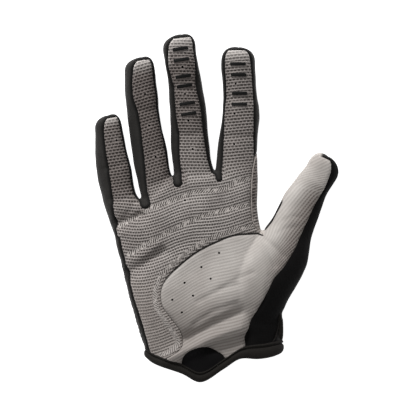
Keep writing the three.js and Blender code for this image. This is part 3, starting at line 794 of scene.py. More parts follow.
# Scraps that a cut leaves are sewn on to the panel beside them.
for turn in range(3):
    seen = np.zeros(len(label), bool)
    patches = {}
    for start in range(len(label)):
        if seen[start]:
            continue
        seen[start] = True
        patch, stack = [], [start]
        while stack:
            i = stack.pop()
            patch.append(i)
            for edge in net.faces[i].edges:
                for face in edge.link_faces:
                    j = face.index
                    if not seen[j] and label[j] == label[start]:
                        seen[j] = True
                        stack.append(j)
        patches.setdefault(label[start], []).append(patch)
    for kind, found in patches.items():
        for patch in sorted(found, key=len)[:-1]:
            beside = [
                label[face.index]
                for i in patch for edge in net.faces[i].edges for face in edge.link_faces
                if label[face.index] != kind
            ]
            if beside:
                label[patch] = np.bincount(beside).argmax()
for face in net.faces:
    face.material_index = int(label[face.index])

# A seam is sewn from inside, so both cloths turn in along it. Where two side strips meet
# at a fingertip it is flatter. The distances are kept for the paint.
SEAM_REACH = 2.2
FRONT_TUCK, SIDE_TUCK = 0.8, 0.3
SIDES = set(range(PANELS.index("ulnar_side"), len(PANELS))) | {PANELS.index("back_panel")}
PALE = {PANELS.index("palm_panel"), PANELS.index("thenar_panel")}
net.normal_update()
net.verts.index_update()


def seam_distances(kept):
    points = []
    for edge in net.edges:
        kinds = {face.material_index for face in edge.link_faces}
        if len(kinds) == 2 and kept(kinds):
            a, b = edge.verts[0].co, edge.verts[1].co
            points += [(a + b) / 2, a, b]
    tree = kdtree.KDTree(len(points))
    for i, point in enumerate(points):
        tree.insert(point, i)
    tree.balance()
    return [tree.find(vert.co)[2] for vert in net.verts]


front_away = seam_distances(lambda kinds: not kinds <= SIDES)
side_away = seam_distances(lambda kinds: kinds <= SIDES)
pale_away = seam_distances(lambda kinds: kinds == PALE)
seam_layer = net.verts.layers.float.new("seam")
pale_layer = net.verts.layers.float.new("overlay_seam")
for vert, front, side, pale in zip(net.verts, front_away, side_away, pale_away):
    vert[seam_layer] = min(front, side)
    vert[pale_layer] = pale
    depth = 0
    for away, deep in ((front, FRONT_TUCK), (side, SIDE_TUCK)):
        t = max(0, 1 - away / SEAM_REACH)
        depth = max(depth, deep * (0.35 * t + 0.65 * t**3))
    vert.co -= vert.normal * depth
net.to_mesh(skin.data)
net.free()
skin_tree = bvhtree.BVHTree.FromObject(skin, bpy.context.evaluated_depsgraph_get())

select_only(skin)
bpy.ops.object.mode_set(mode="EDIT")
bpy.ops.mesh.select_all(action="SELECT")
bpy.ops.mesh.separate(type="MATERIAL")
bpy.ops.object.mode_set(mode="OBJECT")
panel = {}
for piece in [p for p in bpy.context.selected_objects if p.type == "MESH"]:
    used = piece.data.polygons[0].material_index
    name = piece.data.materials[used].name.removesuffix("_cut")
    piece.name = name + "_cloth"
    piece.data.name = piece.name
    piece.data.materials.clear()
    panel[name] = piece


# A panel's own cloth: it takes its paint, and its thickness inwards, it lifts with the
# relaxed fingers, and it goes to its place in metres.
def finish_piece(piece, paint, node, thickness=CLOTH):
    piece.data.materials.append(paint)
    if thickness:
        apply_modifier(piece, "cloth_thickness", "SOLIDIFY", thickness=thickness, offset=-1,
                       use_rim=True, use_even_offset=False)
    places = places_of(piece)
    lift = np.maximum(0, places[:, 1] - (PALM_LENGTH + CURL_START * LONG["length"]))
    lift = CURL_LIFT * (lift / ((1 - CURL_START) * LONG["length"])) ** 2
    places[:, 2] = np.maximum(places[:, 2], 0.02) + lift
    places[:, :2] -= MIDDLE
    place_all(piece, places / 1000)
    select_only(piece)
    bpy.ops.object.shade_smooth_by_angle(angle=math.radians(50))
    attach(piece, "root")
    if node:
        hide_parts(node)


def on_part(points):
    return [(x + MIDDLE[0], y + MIDDLE[1]) for x, y in points]


def on_skin(x, y):
    hit = skin_tree.ray_cast(Vector((x, y, 60)), Vector((0, 0, -1)))
    return (hit[0], hit[1]) if hit[0] is not None else (Vector((x, y, 5)), Vector((0, 0, 1)))


# Round vents are punched through a panel before it has its thickness.
VENT_RADIUS = 0.72


def punch(piece, holes):
    middles = np.array(holes) + MIDDLE

    def past_vent(p):
        away = np.hypot(p[:, None, 0] - middles[:, 0], p[:, None, 1] - middles[:, 1])
        return away.min(axis=1) - VENT_RADIUS

    net = bmesh.new()
    net.from_mesh(piece.data)
    edges = list(net.edges)
    middle_of = np.array([(edge.verts[0].co + edge.verts[1].co) / 2 for edge in edges])
    near = [edges[i] for i in np.nonzero(past_vent(middle_of) < 0.9)[0]]
    bmesh.ops.subdivide_edges(net, edges=near, cuts=3, use_grid_fill=True)
    cut_along(net, past_vent)
    net.faces.ensure_lookup_table()
    centres = np.array([face.calc_center_median() for face in net.faces])
    punched = [net.faces[i] for i in np.nonzero(past_vent(centres) < 0)[0]]
    bmesh.ops.delete(net, geom=punched, context="FACES")
    net.to_mesh(piece.data)
    net.free()


def lay_pattern(piece, name, coordinates):
    layer = piece.data.uv_layers.new(name=name)
    corner = np.empty(len(piece.data.loops), int)
    piece.data.loops.foreach_get("vertex_index", corner)
    layer.data.foreach_set("uv", np.ascontiguousarray(coordinates[corner]).reshape(-1))


def lay_measure(piece, name, value):
    piece.data.attributes.new(name, "FLOAT", "POINT").data.foreach_set("value", value)


# ---------------------------------------------------------------- palm overlay
# The palm and the front of the four fingers are one piece of grey knit, light ribs with
# a row of dark dimples between each two. Three sewn bands quilt it into flat pads.
RIB_PITCH = 1.87
DIMPLE_PITCH = 1.65
FINGER_STRETCH = 0.72
# Slope of the ribs across the palm: millimetres from the middle, degrees.
PALM_SLOPES = [
    (-80, -12), (-54, -8), (-42, 13), (-30, 25), (-20, 15), (-10, 2), (0, 8), (11, 19), (25, 17),
]
# The ribs' slope on each finger, and how open the dimples are at its root and higher up.
FINGER_RIBS = [
    (LITTLE, 9, 0.9, 0.75), (RING, 17, 0.9, 1.05), (LONG, -1, 0.35, 0.9), (INDEX, 5, 0.35, 0.5),
]
SEWN_BANDS = [
    [(-60, -11.6), (-46.2, -3.4), (-35.6, 1.6), (-25, 5.3), (-13.8, 9.7), (3.1, 10.9),
     (11.2, 15.9), (20.6, 17.8)],
    [(-54.4, -29.1), (-35.6, -18.4), (-18.1, -9.1), (-2.5, -3.4), (18.8, 1.6)],
    [(22, -11.6), (10, -14.2), (-3, -18.8), (-14.2, -25), (-24.4, -32.6), (-32.8, -40.4),
     (-37.3, -48), (-38.4, -55), (-37, -62), (-33, -68.5), (-28.8, -75), (-25.2, -80),
     (-24.2, -83.2), (-25.6, -86), (-30, -89.5), (-35, -91)],
]
FINGER_HOLES = [
    (-62.4, 41.8), (-44.7, 70.3), (-42.1, 50.9), (-38.1, 31.4), (-21.4, 87), (-19.9, 70.5),
    (-17.8, 53.9), (-15.1, 36.2), (11.5, 76.9), (10.8, 58.3), (10.6, 39.4), (-19.8, 4.5),
]
FINGER_REACH = 17

# The bars of rubber are printed on this knit, which lies flat round them: the finger, the
# tilt of its bars in degrees, and how far along the finger each one lies.
BAR_LENGTH = 9.4
BAR_WIDTH = 2.05
BARS = [
    ("middle", LONG, 2, (0.903, 0.83, 0.72, 0.657, 0.539, 0.469)),
    ("index", INDEX, 0, (0.87, 0.79, 0.652, 0.572)),
]


def bar_place(digit, tilt, share):
    root, run, side = digit_frame(digit)
    ridge = float(digit_section(digit, share)["ridge"])
    middle = root + run * share * digit["length"] + side * ridge
    angle = math.radians(tilt)
    return (
        middle,
        side * math.cos(angle) + run * math.sin(angle),
        run * math.cos(angle) - side * math.sin(angle),
    )


# How high a rib that follows a table of slopes has risen at a place, and how long it is.
def rib_rows(x, slopes):
    grid = np.linspace(-100, 100, 801)
    at, degrees = np.array(slopes, float).T
    slope = np.tan(np.radians(np.interp(grid, at, degrees)))
    window = np.hanning(41)
    slope = np.convolve(np.pad(slope, 20, mode="edge"), window / window.sum(), "valid")
    step = grid[1] - grid[0]
    rise = np.cumsum(slope) * step
    run = np.cumsum(np.sqrt(1 + slope**2)) * step
    return np.interp(x, grid, rise), np.interp(x, grid, run)


# The weave of a digit, turned about its root, where it joins the palm's.
def turned_frame(p, anchor, degrees, base):
    angle = math.radians(degrees)
    dx, dy = p[:, 0] - anchor[0], p[:, 1] - anchor[1]
    return np.column_stack([
        base[0] + dx * math.cos(angle) + dy * math.sin(angle),
        base[1] - dx * math.sin(angle) + dy * math.cos(angle),
    ])


def palm_weave(p, slopes):
    rise, run = rib_rows(p[:, 0], slopes)
    return np.column_stack([run, p[:, 1] - rise])


def digit_along(p, digit):
    root, run, side = digit_frame(digit)
    return (p[:, :2] - root) @ run, (p[:, :2] - root) @ side


overlay = panel["palm_panel"]
punch(overlay, FINGER_HOLES)
p = places_of(overlay)
weave = palm_weave(p, PALM_SLOPES)
tip = np.zeros(len(p))
deep = 0.3 * smooth(MIDDLE[0] - p[:, 0], 22, 48)
for digit, degrees, deep_low, deep_high in FINGER_RIBS:
    along, across = digit_along(p, digit)
    root, run, _ = digit_frame(digit)
    anchor = root + run * 6
    base = palm_weave(anchor[None, :], PALM_SLOPES)[0]
    own = smooth(along, -2, 14) * (np.abs(across) < FINGER_REACH)
    turned = turned_frame(p, anchor, degrees, base)
    turned[:, 0] = base[0] + (turned[:, 0] - base[0]) * FINGER_STRETCH
    weave += (turned - weave) * own[:, None]
    higher = deep_low + (deep_high - deep_low) * smooth(along, 22, 46)
    deep += (higher - deep) * own * (1 - 0.7 * smooth(along / digit["length"], 0.8, 0.95))
    at_tip = smooth(along / digit["length"], 0.86, 1.0) * (np.abs(across) < FINGER_REACH)
    tip = np.maximum(tip, at_tip)
lay_pattern(overlay, "weave", weave)
band_run, band_away = np.zeros(len(p)), np.full(len(p), 99.0)
for band in SEWN_BANDS:
    away, side, run = along_line(p[:, 0], p[:, 1], rounded(on_part(band)))
    nearer = away < np.abs(band_away)
    band_run = np.where(nearer, run, band_run)
    band_away = np.where(nearer, away * side, band_away)
lay_pattern(overlay, "bands", np.column_stack([band_run, band_away]))
lay_measure(overlay, "tip", tip)
lay_measure(overlay, "deep", deep)
flat = np.zeros(len(p))
for x, y in FINGER_HOLES:
    away = np.hypot(p[:, 0] - MIDDLE[0] - x, p[:, 1] - MIDDLE[1] - y)
    flat = np.maximum(flat, 1 - smooth(away, 1.0, 2.2))
for finger, digit, tilt, spots in BARS:
    for share in spots:
        middle, long_way, short_way = bar_place(digit, tilt, share)
        past_end = np.maximum(np.abs((p[:, :2] - middle) @ long_way) - BAR_LENGTH / 2, 0)
        past_side = np.maximum(np.abs((p[:, :2] - middle) @ short_way) - BAR_WIDTH / 2, 0)
        away = np.hypot(past_end, past_side)
        flat = np.maximum(flat, 1 - smooth(away, 0.5, 1.5))
lay_measure(overlay, "flat", flat)


# Paints a cloth with nodes, written as sums: a value of this kind stands for one socket.
class Dye:
    def __init__(self, tree, socket=None):
        self.tree = tree
        self.socket = socket

    def node(self, kind, settings=None, values=None, output=0):
        made = self.tree.nodes.new("ShaderNode" + kind)
        for key, value in (settings or {}).items():
            if key == "stops":
                ramp = made.color_ramp
                while len(ramp.elements) < len(value):
                    ramp.elements.new(1)
                for stop, (place, colour) in zip(ramp.elements, value):
                    stop.position, stop.color = place, colour
            else:
                setattr(made, key, value)
        for key, value in (values or {}).items():
            if isinstance(value, Dye):
                self.tree.links.new(value.socket, made.inputs[key])
            else:
                made.inputs[key].default_value = value
        return Dye(self.tree, made.outputs[output])

    def maths(self, operation, *others, clamp=False):
        values = {i: value for i, value in enumerate((self,) + others)}
        return self.node("Math", {"operation": operation, "use_clamp": clamp}, values)

    def __add__(self, other):
        return self.maths("ADD", other)

    def __sub__(self, other):
        return self.maths("SUBTRACT", other)

    def __mul__(self, other):
        return self.maths("MULTIPLY", other)

    def __truediv__(self, other):
        return self.maths("DIVIDE", other)

    def __rsub__(self, other):
        return self.node("Math", {"operation": "SUBTRACT"}, {0: other, 1: self})

    __radd__ = __add__
    __rmul__ = __mul__

    def wrapped(self):
        return self.maths("FRACT")

    def size(self):
        return self.maths("ABSOLUTE")

    def clipped(self):
        return self.maths("MULTIPLY", 1.0, clamp=True)

    def blend(self, low, high):
        values = {0: self, 6: low, 7: high}
        return self.node("Mix", {"data_type": "RGBA"}, values, output=2)

    def split(self):
        parts = self.node("SeparateXYZ", None, {0: self})
        return [Dye(self.tree, socket) for socket in parts.socket.node.outputs]

    # Coordinates of a laid pattern, as two values in millimetres.
    def pattern(self, name):
        return self.node("UVMap", {"uv_map": name}).split()[:2]

    # A measure that was laid on the cloth's points.
    def measure(self, name):
        return self.node("Attribute", {"attribute_name": name}, output=2)

    # The place on the glove, in metres.
    def place(self):
        return self.node("TexCoord", output=3)

    def speckle(self, scale, detail=2.0):
        values = {"Vector": self.place(), "Scale": scale, "Detail": detail, "Roughness": 0.5}
        return self.node("TexNoise", None, values)


def shade(red, green, blue):
    return (
        *(((c / 255 + 0.055) / 1.055) ** 2.4 if c > 10 else c / 3294.6 for c in (red, green, blue)),
        1,
    )


def cloth_paint(name, roughness, sheen=0.0, specular=0.3):
    paint = bpy.data.materials.new(name)
    paint.use_nodes = True
    shader = paint.node_tree.nodes["Principled BSDF"]
    shader.inputs["Roughness"].default_value = roughness
    shader.inputs["Sheen Weight"].default_value = sheen
    shader.inputs["Sheen Roughness"].default_value = 0.4
    shader.inputs["Specular IOR Level"].default_value = specular
    return paint, Dye(paint.node_tree), shader


def lay_paint(dye, shader, colour, height=None, depth=0):
    dye.tree.links.new(colour.socket, shader.inputs["Base Color"])
    if height:
        bump = dye.node("Bump", None, {"Height": height, "Distance": depth / 1000, "Strength": 1.0})
        dye.tree.links.new(bump.socket, shader.inputs["Normal"])


# Ribs and dimples: how far a place lies in the valley between two ribs, and how far in
# a dimple of that valley.
def ribbed(dye, pitch, valley_width, dimple_share, waver=0.2):
    u, v = dye.pattern("weave")
    v = v + (dye.speckle(260, 1) - 0.5) * waver * 2
    row = v / pitch
    level = row.maths("FLOOR")
    chance = dye.node("TexWhiteNoise", {"noise_dimensions": "1D"}, {"W": level}, output=0)
    shift = (level * 0.5).wrapped() + chance * 0.18
    cell = (u / DIMPLE_PITCH + shift).wrapped()
    valley = (1 - ((row.wrapped() - 0.5).size() / valley_width)).clipped()
    dimple = ((dimple_share / 2 - (cell - 0.5).size()) / 0.09 + 0.5).clipped()
    return valley, dimple


# The grey knit: its valleys and dimples, and its colour, which is darker and more openly dimpled
# where the laid measure 'deep' is high.
def knit_colours(dye):
    valley, dimple = ribbed(dye, RIB_PITCH, 0.46, 0.66)
    mottle = dye.speckle(70, 3)
    patch = dye.speckle(140, 2)
    deep = dye.measure("deep").clipped()
    flat = dye.measure("flat").clipped()
    stops = [(0.3, shade(176, 169, 165)), (0.7, shade(208, 201, 196))]
    tone = deep.blend(dye.node("ValToRGB", {"stops": stops}, {0: mottle}), shade(134, 125, 121))
    closed = ((patch - 0.44) * 6).clipped() * (1 - deep * 0.7)
    gap = (dimple * (1 - closed * 0.75) + 0.26 + closed * 0.4).clipped()
    depth = (valley * 1.5).clipped() * gap * (1 - flat * 0.7)
    knit = (depth * (0.66 + mottle * 0.35 + deep * 0.2)).clipped().blend(tone, shade(38, 30, 27))
    return valley, dimple, knit


# Nothing on the heel of the hand, where the light falls along the cloth, and 1 above it.
def above_heel(dye):
    return ((dye.place().split()[1] * 1000 + 52) / 14).clipped()


# Painted shadow: the dark line along the overlay's raised edge, wider and darker above the heel.
def edge_shadow_line(dye, colour, width, wider, fade, strength, stronger):
    upper = above_heel(dye)
    edge_shadow = ((width + upper * wider - dye.measure("overlay_seam")) / fade).clipped()
    return (edge_shadow * (strength + upper * stronger)).blend(colour, shade(22, 18, 17))


BAND_HALF_WIDTH = 1.6
STITCH_PITCH = 1.6
overlay_paint, dye, shader = cloth_paint("palm_overlay_knit", 0.88, sheen=0.1)
valley, dimple, knit = knit_colours(dye)
fine = dye.speckle(1900, 2)
run, away = dye.pattern("bands")
in_band = ((BAND_HALF_WIDTH - away.size() + (dye.speckle(430, 1) - 0.5) * 2.4) / 0.5).clipped()
tick = ((((run - away * 0.9) / STITCH_PITCH).wrapped() - 0.5).size() * 4.4 - 0.75).clipped()
patch = ((dye.speckle(480, 1) - 0.36) * 7).clipped()
upper = above_heel(dye)
tick = tick * patch * (upper * 0.3 + 0.7)
stitched = tick.blend(shade(190, 183, 178), shade(40, 33, 30))
knit = ((1 - upper) * 0.42).blend(knit, shade(158, 149, 143))
colour = in_band.blend(knit, stitched)
# Painted highlight: the fingertips lighter and their rolled edge lightest, where they curve up
# towards the lamp.
tip_highlight = dye.measure("tip")
rim_highlight = (1 - dye.measure("seam") / 1.3).clipped() * tip_highlight
colour = (tip_highlight * 0.4 + rim_highlight * 0.6).clipped().blend(colour, shade(236, 231, 226))
colour = (fine * 0.2).blend(colour, shade(70, 62, 58))
on_fingers = ((dye.place().split()[1] * 1000 + 5) / 20).clipped()
colour = (on_fingers * (0.16 - tip_highlight * 0.16)).blend(colour, shade(34, 29, 27))
# Painted shadow along the overlay's raised edge.
colour = edge_shadow_line(dye, colour, 0.45, 0.45, 0.35, 0.55, 0.4)
height = (1 - valley * (0.55 + dimple * 0.45)) * (1 - in_band) + in_band * (1 - tick * 0.8)
lay_paint(dye, shader, colour, height + fine * 0.25, 0.5)
finish_piece(overlay, overlay_paint, "palm_panel")

# ---------------------------------------------------------------- ball of the thumb
# A pale, finely ribbed suede covers the ball of the thumb and runs up to its tip. It
# bends round the hand, so its ribs turn with the thumb, and it is punched with vents.
THENAR_SLOPES = [
    (-40, 31), (-26, 30), (-17, 33), (-7.5, 24), (2, 10), (14, 16), (24, 36), (34, 46),
]
THENAR_HOLES = [
    (1.2, -28), (-9.7, -36.8), (-4, -43.9), (-20, -46.4), (-14.8, -54.3), (-27.6, -56.8),
    (-21.7, -64.6),
]
FINE_PITCH = 1.9
thenar = panel["thenar_panel"]


def thenar_weave(p):
    weave = palm_weave(p, THENAR_SLOPES)
    along, across = digit_along(p, THUMB)
    root, run, _ = digit_frame(THUMB)
    for start, end, reach, degrees in ((0.42, 0.56, 0.5, 50), (0.76, 0.92, 0.84, 27)):
        anchor = root + run * reach * THUMB["length"]
        base = palm_weave(anchor[None, :], THENAR_SLOPES)[0]
        own = smooth(along / THUMB["length"], start, end) * smooth(p[:, 0], 18, 32)
        weave = weave + (turned_frame(p, anchor, degrees, base) - weave) * own[:, None]
    return weave, along, across


punch(thenar, THENAR_HOLES)
p = places_of(thenar)
weave, along, across = thenar_weave(p)
lay_pattern(thenar, "weave", weave)
dimpled = smooth(across, -12, 8) * smooth(p[:, 0], 0, 30) * (1 - smooth(along, 88, 108)) + 0.12
lay_measure(thenar, "dimpled", dimpled)
on_thumb = smooth(across, -11, 3) * smooth(along, 18, 40) * (1 - smooth(along, 84, 104))
low_on_heel = smooth(MIDDLE[1] - p[:, 1], 34, 78) * (1 - smooth(along, 10, 30))
lay_measure(thenar, "shaded", np.clip(0.75 * on_thumb + 0.5 * low_on_heel, 0, 1))
# The suede wraps over the end of the thumb's inner strip.
along, across = digit_along(places_of(panel["thumb_inner_side"]), THUMB)
wrapped = smooth(along, 77, 80) * (1 - smooth(across, -5.5, -3.5) * smooth(along, 108, 111))
lay_measure(panel["thumb_inner_side"], "wrapped", wrapped)
suede_paint, dye, shader = cloth_paint("thumb_suede", 0.85, sheen=0.1, specular=0.2)
valley, dimple = ribbed(dye, FINE_PITCH, 0.45, 0.7, waver=0.12)
shaded = dye.measure("shaded")
dimpled = dye.measure("dimpled")
mottle = dye.speckle(45, 3)
fine = dye.speckle(1500, 2)
stops = [(0.3, shade(177, 171, 166)), (0.7, shade(201, 196, 191))]
tone = shaded.blend(dye.node("ValToRGB", {"stops": stops}, {0: mottle}), shade(132, 124, 119))
depth = valley * (0.2 + shaded * 0.4 + dimple * dimpled * (0.35 + shaded * 0.3))
colour = depth.clipped().blend(tone, shade(78, 68, 63))
colour = (fine * 0.16).blend(colour, shade(120, 112, 107))
# Painted shadow where the overlay's raised edge stands over the suede.
colour = edge_shadow_line(dye, colour, 0.3, 0.4, 0.3, 0.6, 0.35)
height = 1 - valley * (0.45 + dimple * dimpled * 0.55) + fine * 0.35
lay_paint(dye, shader, colour, height, 0.18)
finish_piece(thenar, suede_paint, "thenar_panel")

# ---------------------------------------------------------------- index gusset
# A narrow strip of the same suede turns the palm round to the side of the index finger.
# Its knit face is out, and a pale rolled edge runs along its seam.
gusset = panel["index_gusset"]
p = places_of(gusset)
round_side = p[:, 0] * 0.7 + p[:, 2] * 0.9
lay_pattern(gusset, "weave", np.column_stack([round_side, p[:, 1] - 0.3 * p[:, 0]]))
lay_measure(gusset, "dimpled", smooth(p[:, 1], 76, 84) * 0.95 + 0.05)
# Painted shade darkens the gusset's knit, more so higher up.
lay_measure(gusset, "deep", 0.35 + 0.5 * smooth(p[:, 1], 88, 100))
gusset_paint, dye, shader = cloth_paint("gusset_knit", 0.88, sheen=0.1)
valley, dimple, knit = knit_colours(dye)
plain = 1 - dye.measure("dimpled")
lay_paint(dye, shader, plain.blend(knit, shade(186, 179, 173)), 1 - valley * 0.8, 0.35)
finish_piece(gusset, gusset_paint, "index_gusset")


# A thin round edge laid along a line on the cloth.
def rolled_edge(name, line, radius, sink, flat=1.0):
    points = []
    for x, y in line:
        place, normal = on_skin(x, y)
        points.append(np.array(place) + np.array(normal) * (radius - sink))
    points = np.array(points)
    for _ in range(3):
        points[1:-1] = (points[:-2] + 2 * points[1:-1] + points[2:]) / 4
    around = 12
    runs = np.gradient(points, axis=0)
    runs /= np.linalg.norm(runs, axis=1)[:, None]
    sides = np.cross(runs, [0, 0, 1])
    sides /= np.linalg.norm(sides, axis=1)[:, None]
    ups = np.cross(sides, runs)
    count = np.arange(len(points))
    share = np.minimum(1, 0.15 + np.minimum(count, count[::-1]) / 3)
    turn = np.linspace(0, 2 * math.pi, around, endpoint=False)
    rings = [
        q + radius * g * (np.outer(np.cos(turn), a) + np.outer(np.sin(turn), b) * flat)
        for q, a, b, g in zip(points, sides, ups, share)
    ]
    return limb(name, rings)


TAB_LINE = [(23.0, 28.4), (23.6, 30), (24.1, 31.4), (24.5, 32.8), (24.7, 34)]
edge_paint, dye, shader = cloth_paint("pale_rolled_edge", 0.8, sheen=0.1)
lay_paint(dye, shader, dye.speckle(1100, 2).blend(shade(96, 88, 84), shade(196, 188, 182)))
for name, line, radius, sink, flat in (
    ("gusset_piping", GUSSET_LINE[6:40], 0.42, 0.35, 1),
    ("gusset_tab", on_part(TAB_LINE), 0.85, 0.55, 0.6),
):
    edge = rolled_edge(name, line, radius, sink, flat)
    finish_piece(edge, edge_paint, None, thickness=0)

# ---------------------------------------------------------------- black side strips
# Smooth stretch cloth makes the sides of the digits and both edges of the hand. It is
# charcoal between the fingers, and black and dull over the side of the thumb.
WRAP_LEVEL = 7.6
FRAY, FRAY_LENGTHS = 0.45, (1.5, 1.3, 1.5)


def knit_paint(name, colour, light, roughness, sheen, pitch):
    paint, dye, shader = cloth_paint(name, roughness, sheen=sheen, specular=0.12)
    x, y, z = dye.place().split()
    rib = ((x * 1000 + z * 600) / pitch * math.pi).maths("SINE").size()
    loop = ((y * 1000) / (pitch * 0.8) * math.pi).maths("SINE").size()
    fine = dye.speckle(1700, 2)
    face = (dye.speckle(55, 3) * 0.55 + fine * 0.35).clipped().blend(colour, light)
    # Painted shade: the cloth turns near black in the groove along each seam.
    seam_shade = ((SEAM_REACH - dye.measure("seam")) / SEAM_REACH * 1.5).clipped() * 0.85
    face = seam_shade.blend(face, shade(9, 8, 8))
    wrap = ((z * 1000 - WRAP_LEVEL) / 0.3).clipped() * dye.measure("wrapped")
    face = wrap.blend(face, shade(184, 178, 173))
    lay_paint(dye, shader, face, rib * 0.5 + loop * 0.4 + fine * 0.5, 0.12)
    return paint


charcoal = knit_paint("side_knit", shade(25, 24, 23), shade(52, 50, 48), 0.7, 0.08, 1.1)
dull_black = knit_paint("thumb_black", shade(9, 8, 8), shade(20, 19, 19), 0.9, 0.0, 1.3)
back_cloth = knit_paint("back_knit", shade(30, 29, 29), shade(52, 50, 49), 0.75, 0.2, 1.5)
insert_mesh = knit_paint("stretch_insert", shade(7, 6, 7), shade(19, 18, 19), 0.8, 0.0, 0.9)
edge = panel["ulnar_side"]
p, outward = places_of(edge), normals_of(edge)
frayed = FRAY * np.array([noise.noise(Vector(place)) for place in p / FRAY_LENGTHS])
place_all(edge, p + outward * (frayed * smooth(MIDDLE[1] - p[:, 1], 20, 45))[:, None])
for name in (
    "ulnar_side", "little_ring_fourchette", "ring_middle_fourchette", "middle_index_fourchette",
    "index_side", "thumb_inner_side",
):
    finish_piece(panel[name], charcoal, name)
finish_piece(panel["thumb_outer_side"], dull_black, "thumb_outer_side")

# ---------------------------------------------------------------- wrist insert and back
# A half moon of elastic mesh lets the cuff give over the heel of the hand. The back of
# the hand is one plain stretch panel, which the glove lies on.
finish_piece(panel["wrist_insert"], insert_mesh, "wrist_insert")
finish_piece(panel["back_panel"], back_cloth, "back_panel")

# ---------------------------------------------------------------- cuff binding
# Elastic tape is folded over the wrist hem all round and sewn down along a groove near
# its upper edge. It is a ribbed black-brown band a little thicker than the cloth.
# The tape's section: how far below the hem, and how far out from the skin.
TAPE = [
    (-0.5, 0.05), (-0.4, 0.55), (0.1, 0.85), (0.6, 0.65), (0.95, 0.1), (1.3, 0.05), (1.7, 0.7),
    (2.6, 1.1), (3.7, 1.15), (4.8, 0.9), (5.5, 0.4), (5.85, -0.2), (5.85, -0.9), (5.4, -1.6),
    (4.0, -1.95), (1.6, -2.0), (0.2, -1.9), (-0.5, -1.5), (-0.5, 0.05),
]
AROUND_CUFF = 360
CORNER_WIDENING, CORNER_NARROWING = 0.5, 0.2
rings = np.array([palm_ring(0, AROUND_CUFF, grow=grow, past=-past) for past, grow in TAPE])
corner = smooth(rings[..., 0], 10, 26) * (1 - 0.45 * smooth(rings[..., 0], 34, 43))
front = smooth(rings[..., 2], 8, 14)
widening = CORNER_WIDENING * front - CORNER_NARROWING * (1 - front)
past = np.array([past for past, _ in TAPE])
rings[..., 1] -= np.maximum(past, 0)[:, None] * corner * widening
tape = ring_sheet("cuff_tape", rings)
tape.data.update()
edge_run = np.linalg.norm(np.diff(np.vstack([rings[5], rings[5, :1]]), axis=0), axis=1)
tape_run = np.tile(np.concatenate([[0], np.cumsum(edge_run)]), len(TAPE))
lay_pattern(tape, "weave", np.column_stack([tape_run, np.repeat(past, AROUND_CUFF + 1)]))
sew(ends_open=True)
tape_paint, dye, shader = cloth_paint("cuff_tape_knit", 0.8, sheen=0.02, specular=0.12)
u, v = dye.pattern("weave")
rib = (u / 0.85 * math.pi).maths("SINE").size()
line = (v / 0.7 * math.pi).maths("SINE").size()
fine = dye.speckle(1600, 2)
cloud = dye.speckle(60, 2)
# Random mottle, and a painted highlight along the crests of the tape's ribs.
mottle_and_rib_highlight = (cloud * 0.5 + rib * 0.2 + fine * 0.25).clipped()
colour = mottle_and_rib_highlight.blend(shade(13, 12, 11), shade(44, 41, 38))
lay_paint(dye, shader, colour, rib * 0.7 + line * 0.3 + fine * 0.4, 0.16)
finish_piece(tape, tape_paint, "cuff_binding", thickness=0)
# Over the thumb's side the tape turns up the edge of the cuff, with a thin rolled edge:
# each one's line, radius, how deep it sinks in the cloth, and how flat it is.
CORNER_ROLLS = {
    "corner_tape": (
        [(38.7, -66), (39.1, -71), (39.3, -76), (39.1, -81), (38.2, -85.5), (35.6, -89)],
        1.9, 1.8, 0.6,
    ),
    "corner_edge": (
        [(39.3, -66), (38.6, -70), (37.9, -74), (37.1, -78), (35.9, -81.5), (33.8, -84)],
        0.4, 0.25, 1,
    ),
}
for name, (line, radius, sink, flat) in CORNER_ROLLS.items():
    roll = rolled_edge(name, rounded(on_part(line), 4), radius, sink, flat)
    lay_pattern(roll, "weave", places_of(roll)[:, 1::-1])
    finish_piece(roll, tape_paint, None, thickness=0)

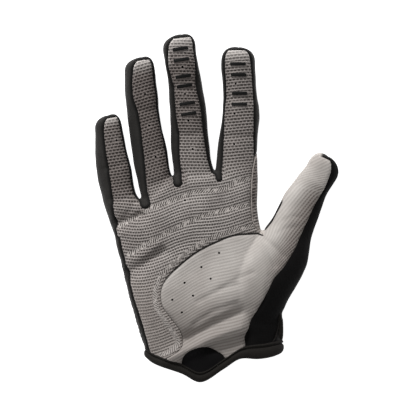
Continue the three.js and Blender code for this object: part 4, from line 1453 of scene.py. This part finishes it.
# ---------------------------------------------------------------- grip bars
# Short bars of black silicone are printed across the index and middle finger, in pairs
# between the finger's creases. Each is a low, rounded bead with a slightly rough face.
BAR_RISE = 0.6
BAR_BEVEL = 0.42
BAR_LIFT = 0.3
BAR_FOLLOW = 0.4
EDGE_WOBBLE = 0.06
grip_paint, dye, shader = cloth_paint("grip_silicone", 0.6, specular=0.2)
fine = dye.speckle(2400, 3)
lay_paint(dye, shader, (fine * 0.8).blend(shade(8, 8, 8), shade(22, 21, 21)), fine, 0.12)
for finger, digit, tilt, spots in BARS:
    for count, share in enumerate(spots, 1):
        middle, long_way, short_way = bar_place(digit, tilt, share)
        bpy.ops.object.select_all(action="DESELECT")
        bpy.ops.mesh.primitive_cube_add(size=1)
        bar = bpy.context.object
        bar.name = f"{finger}_grip_{count}"
        bpy.ops.transform.resize(value=(BAR_LENGTH, BAR_WIDTH, 2 * BAR_RISE))
        bpy.ops.object.transform_apply(scale=True)
        bpy.ops.object.mode_set(mode="EDIT")
        bpy.ops.mesh.select_all(action="SELECT")
        bpy.ops.mesh.bevel(offset=BAR_BEVEL, segments=3, affect="EDGES")
        bpy.ops.mesh.subdivide(number_cuts=3)
        bpy.ops.object.mode_set(mode="OBJECT")
        local = places_of(bar)
        felt = [(a, b) for a in np.linspace(-BAR_LENGTH / 2, BAR_LENGTH / 2, 9) for b in (-1, 0, 1)]
        levels = [on_skin(*(middle + long_way * a + short_way * b))[0].z for a, b in felt]
        terms = np.array([[1, a, a * a, b] for a, b in felt])
        fit = np.linalg.lstsq(terms, np.array(levels), rcond=None)[0]
        laid = []
        for a, b, c in local:
            edge = EDGE_WOBBLE * noise.noise(Vector((a * 1.1 + count * 9, b * 1.1, c)))
            plan = middle + long_way * (a + edge) + short_way * (b + edge)
            slope = fit[1] + 2 * fit[2] * a
            rise = (c + BAR_LIFT) / math.sqrt(1 + slope * slope)
            plan = plan - long_way * slope * rise
            fitted = fit[0] + fit[1] * a + fit[2] * a * a + fit[3] * b
            cloth = on_skin(plan[0], plan[1])[0].z
            level = max(fitted - BAR_FOLLOW, min(fitted + BAR_FOLLOW, cloth))
            laid.append((plan[0], plan[1], level + rise))
        place_all(bar, np.array(laid))
        finish_piece(bar, grip_paint, f"{finger}_bar_{count}", thickness=0)
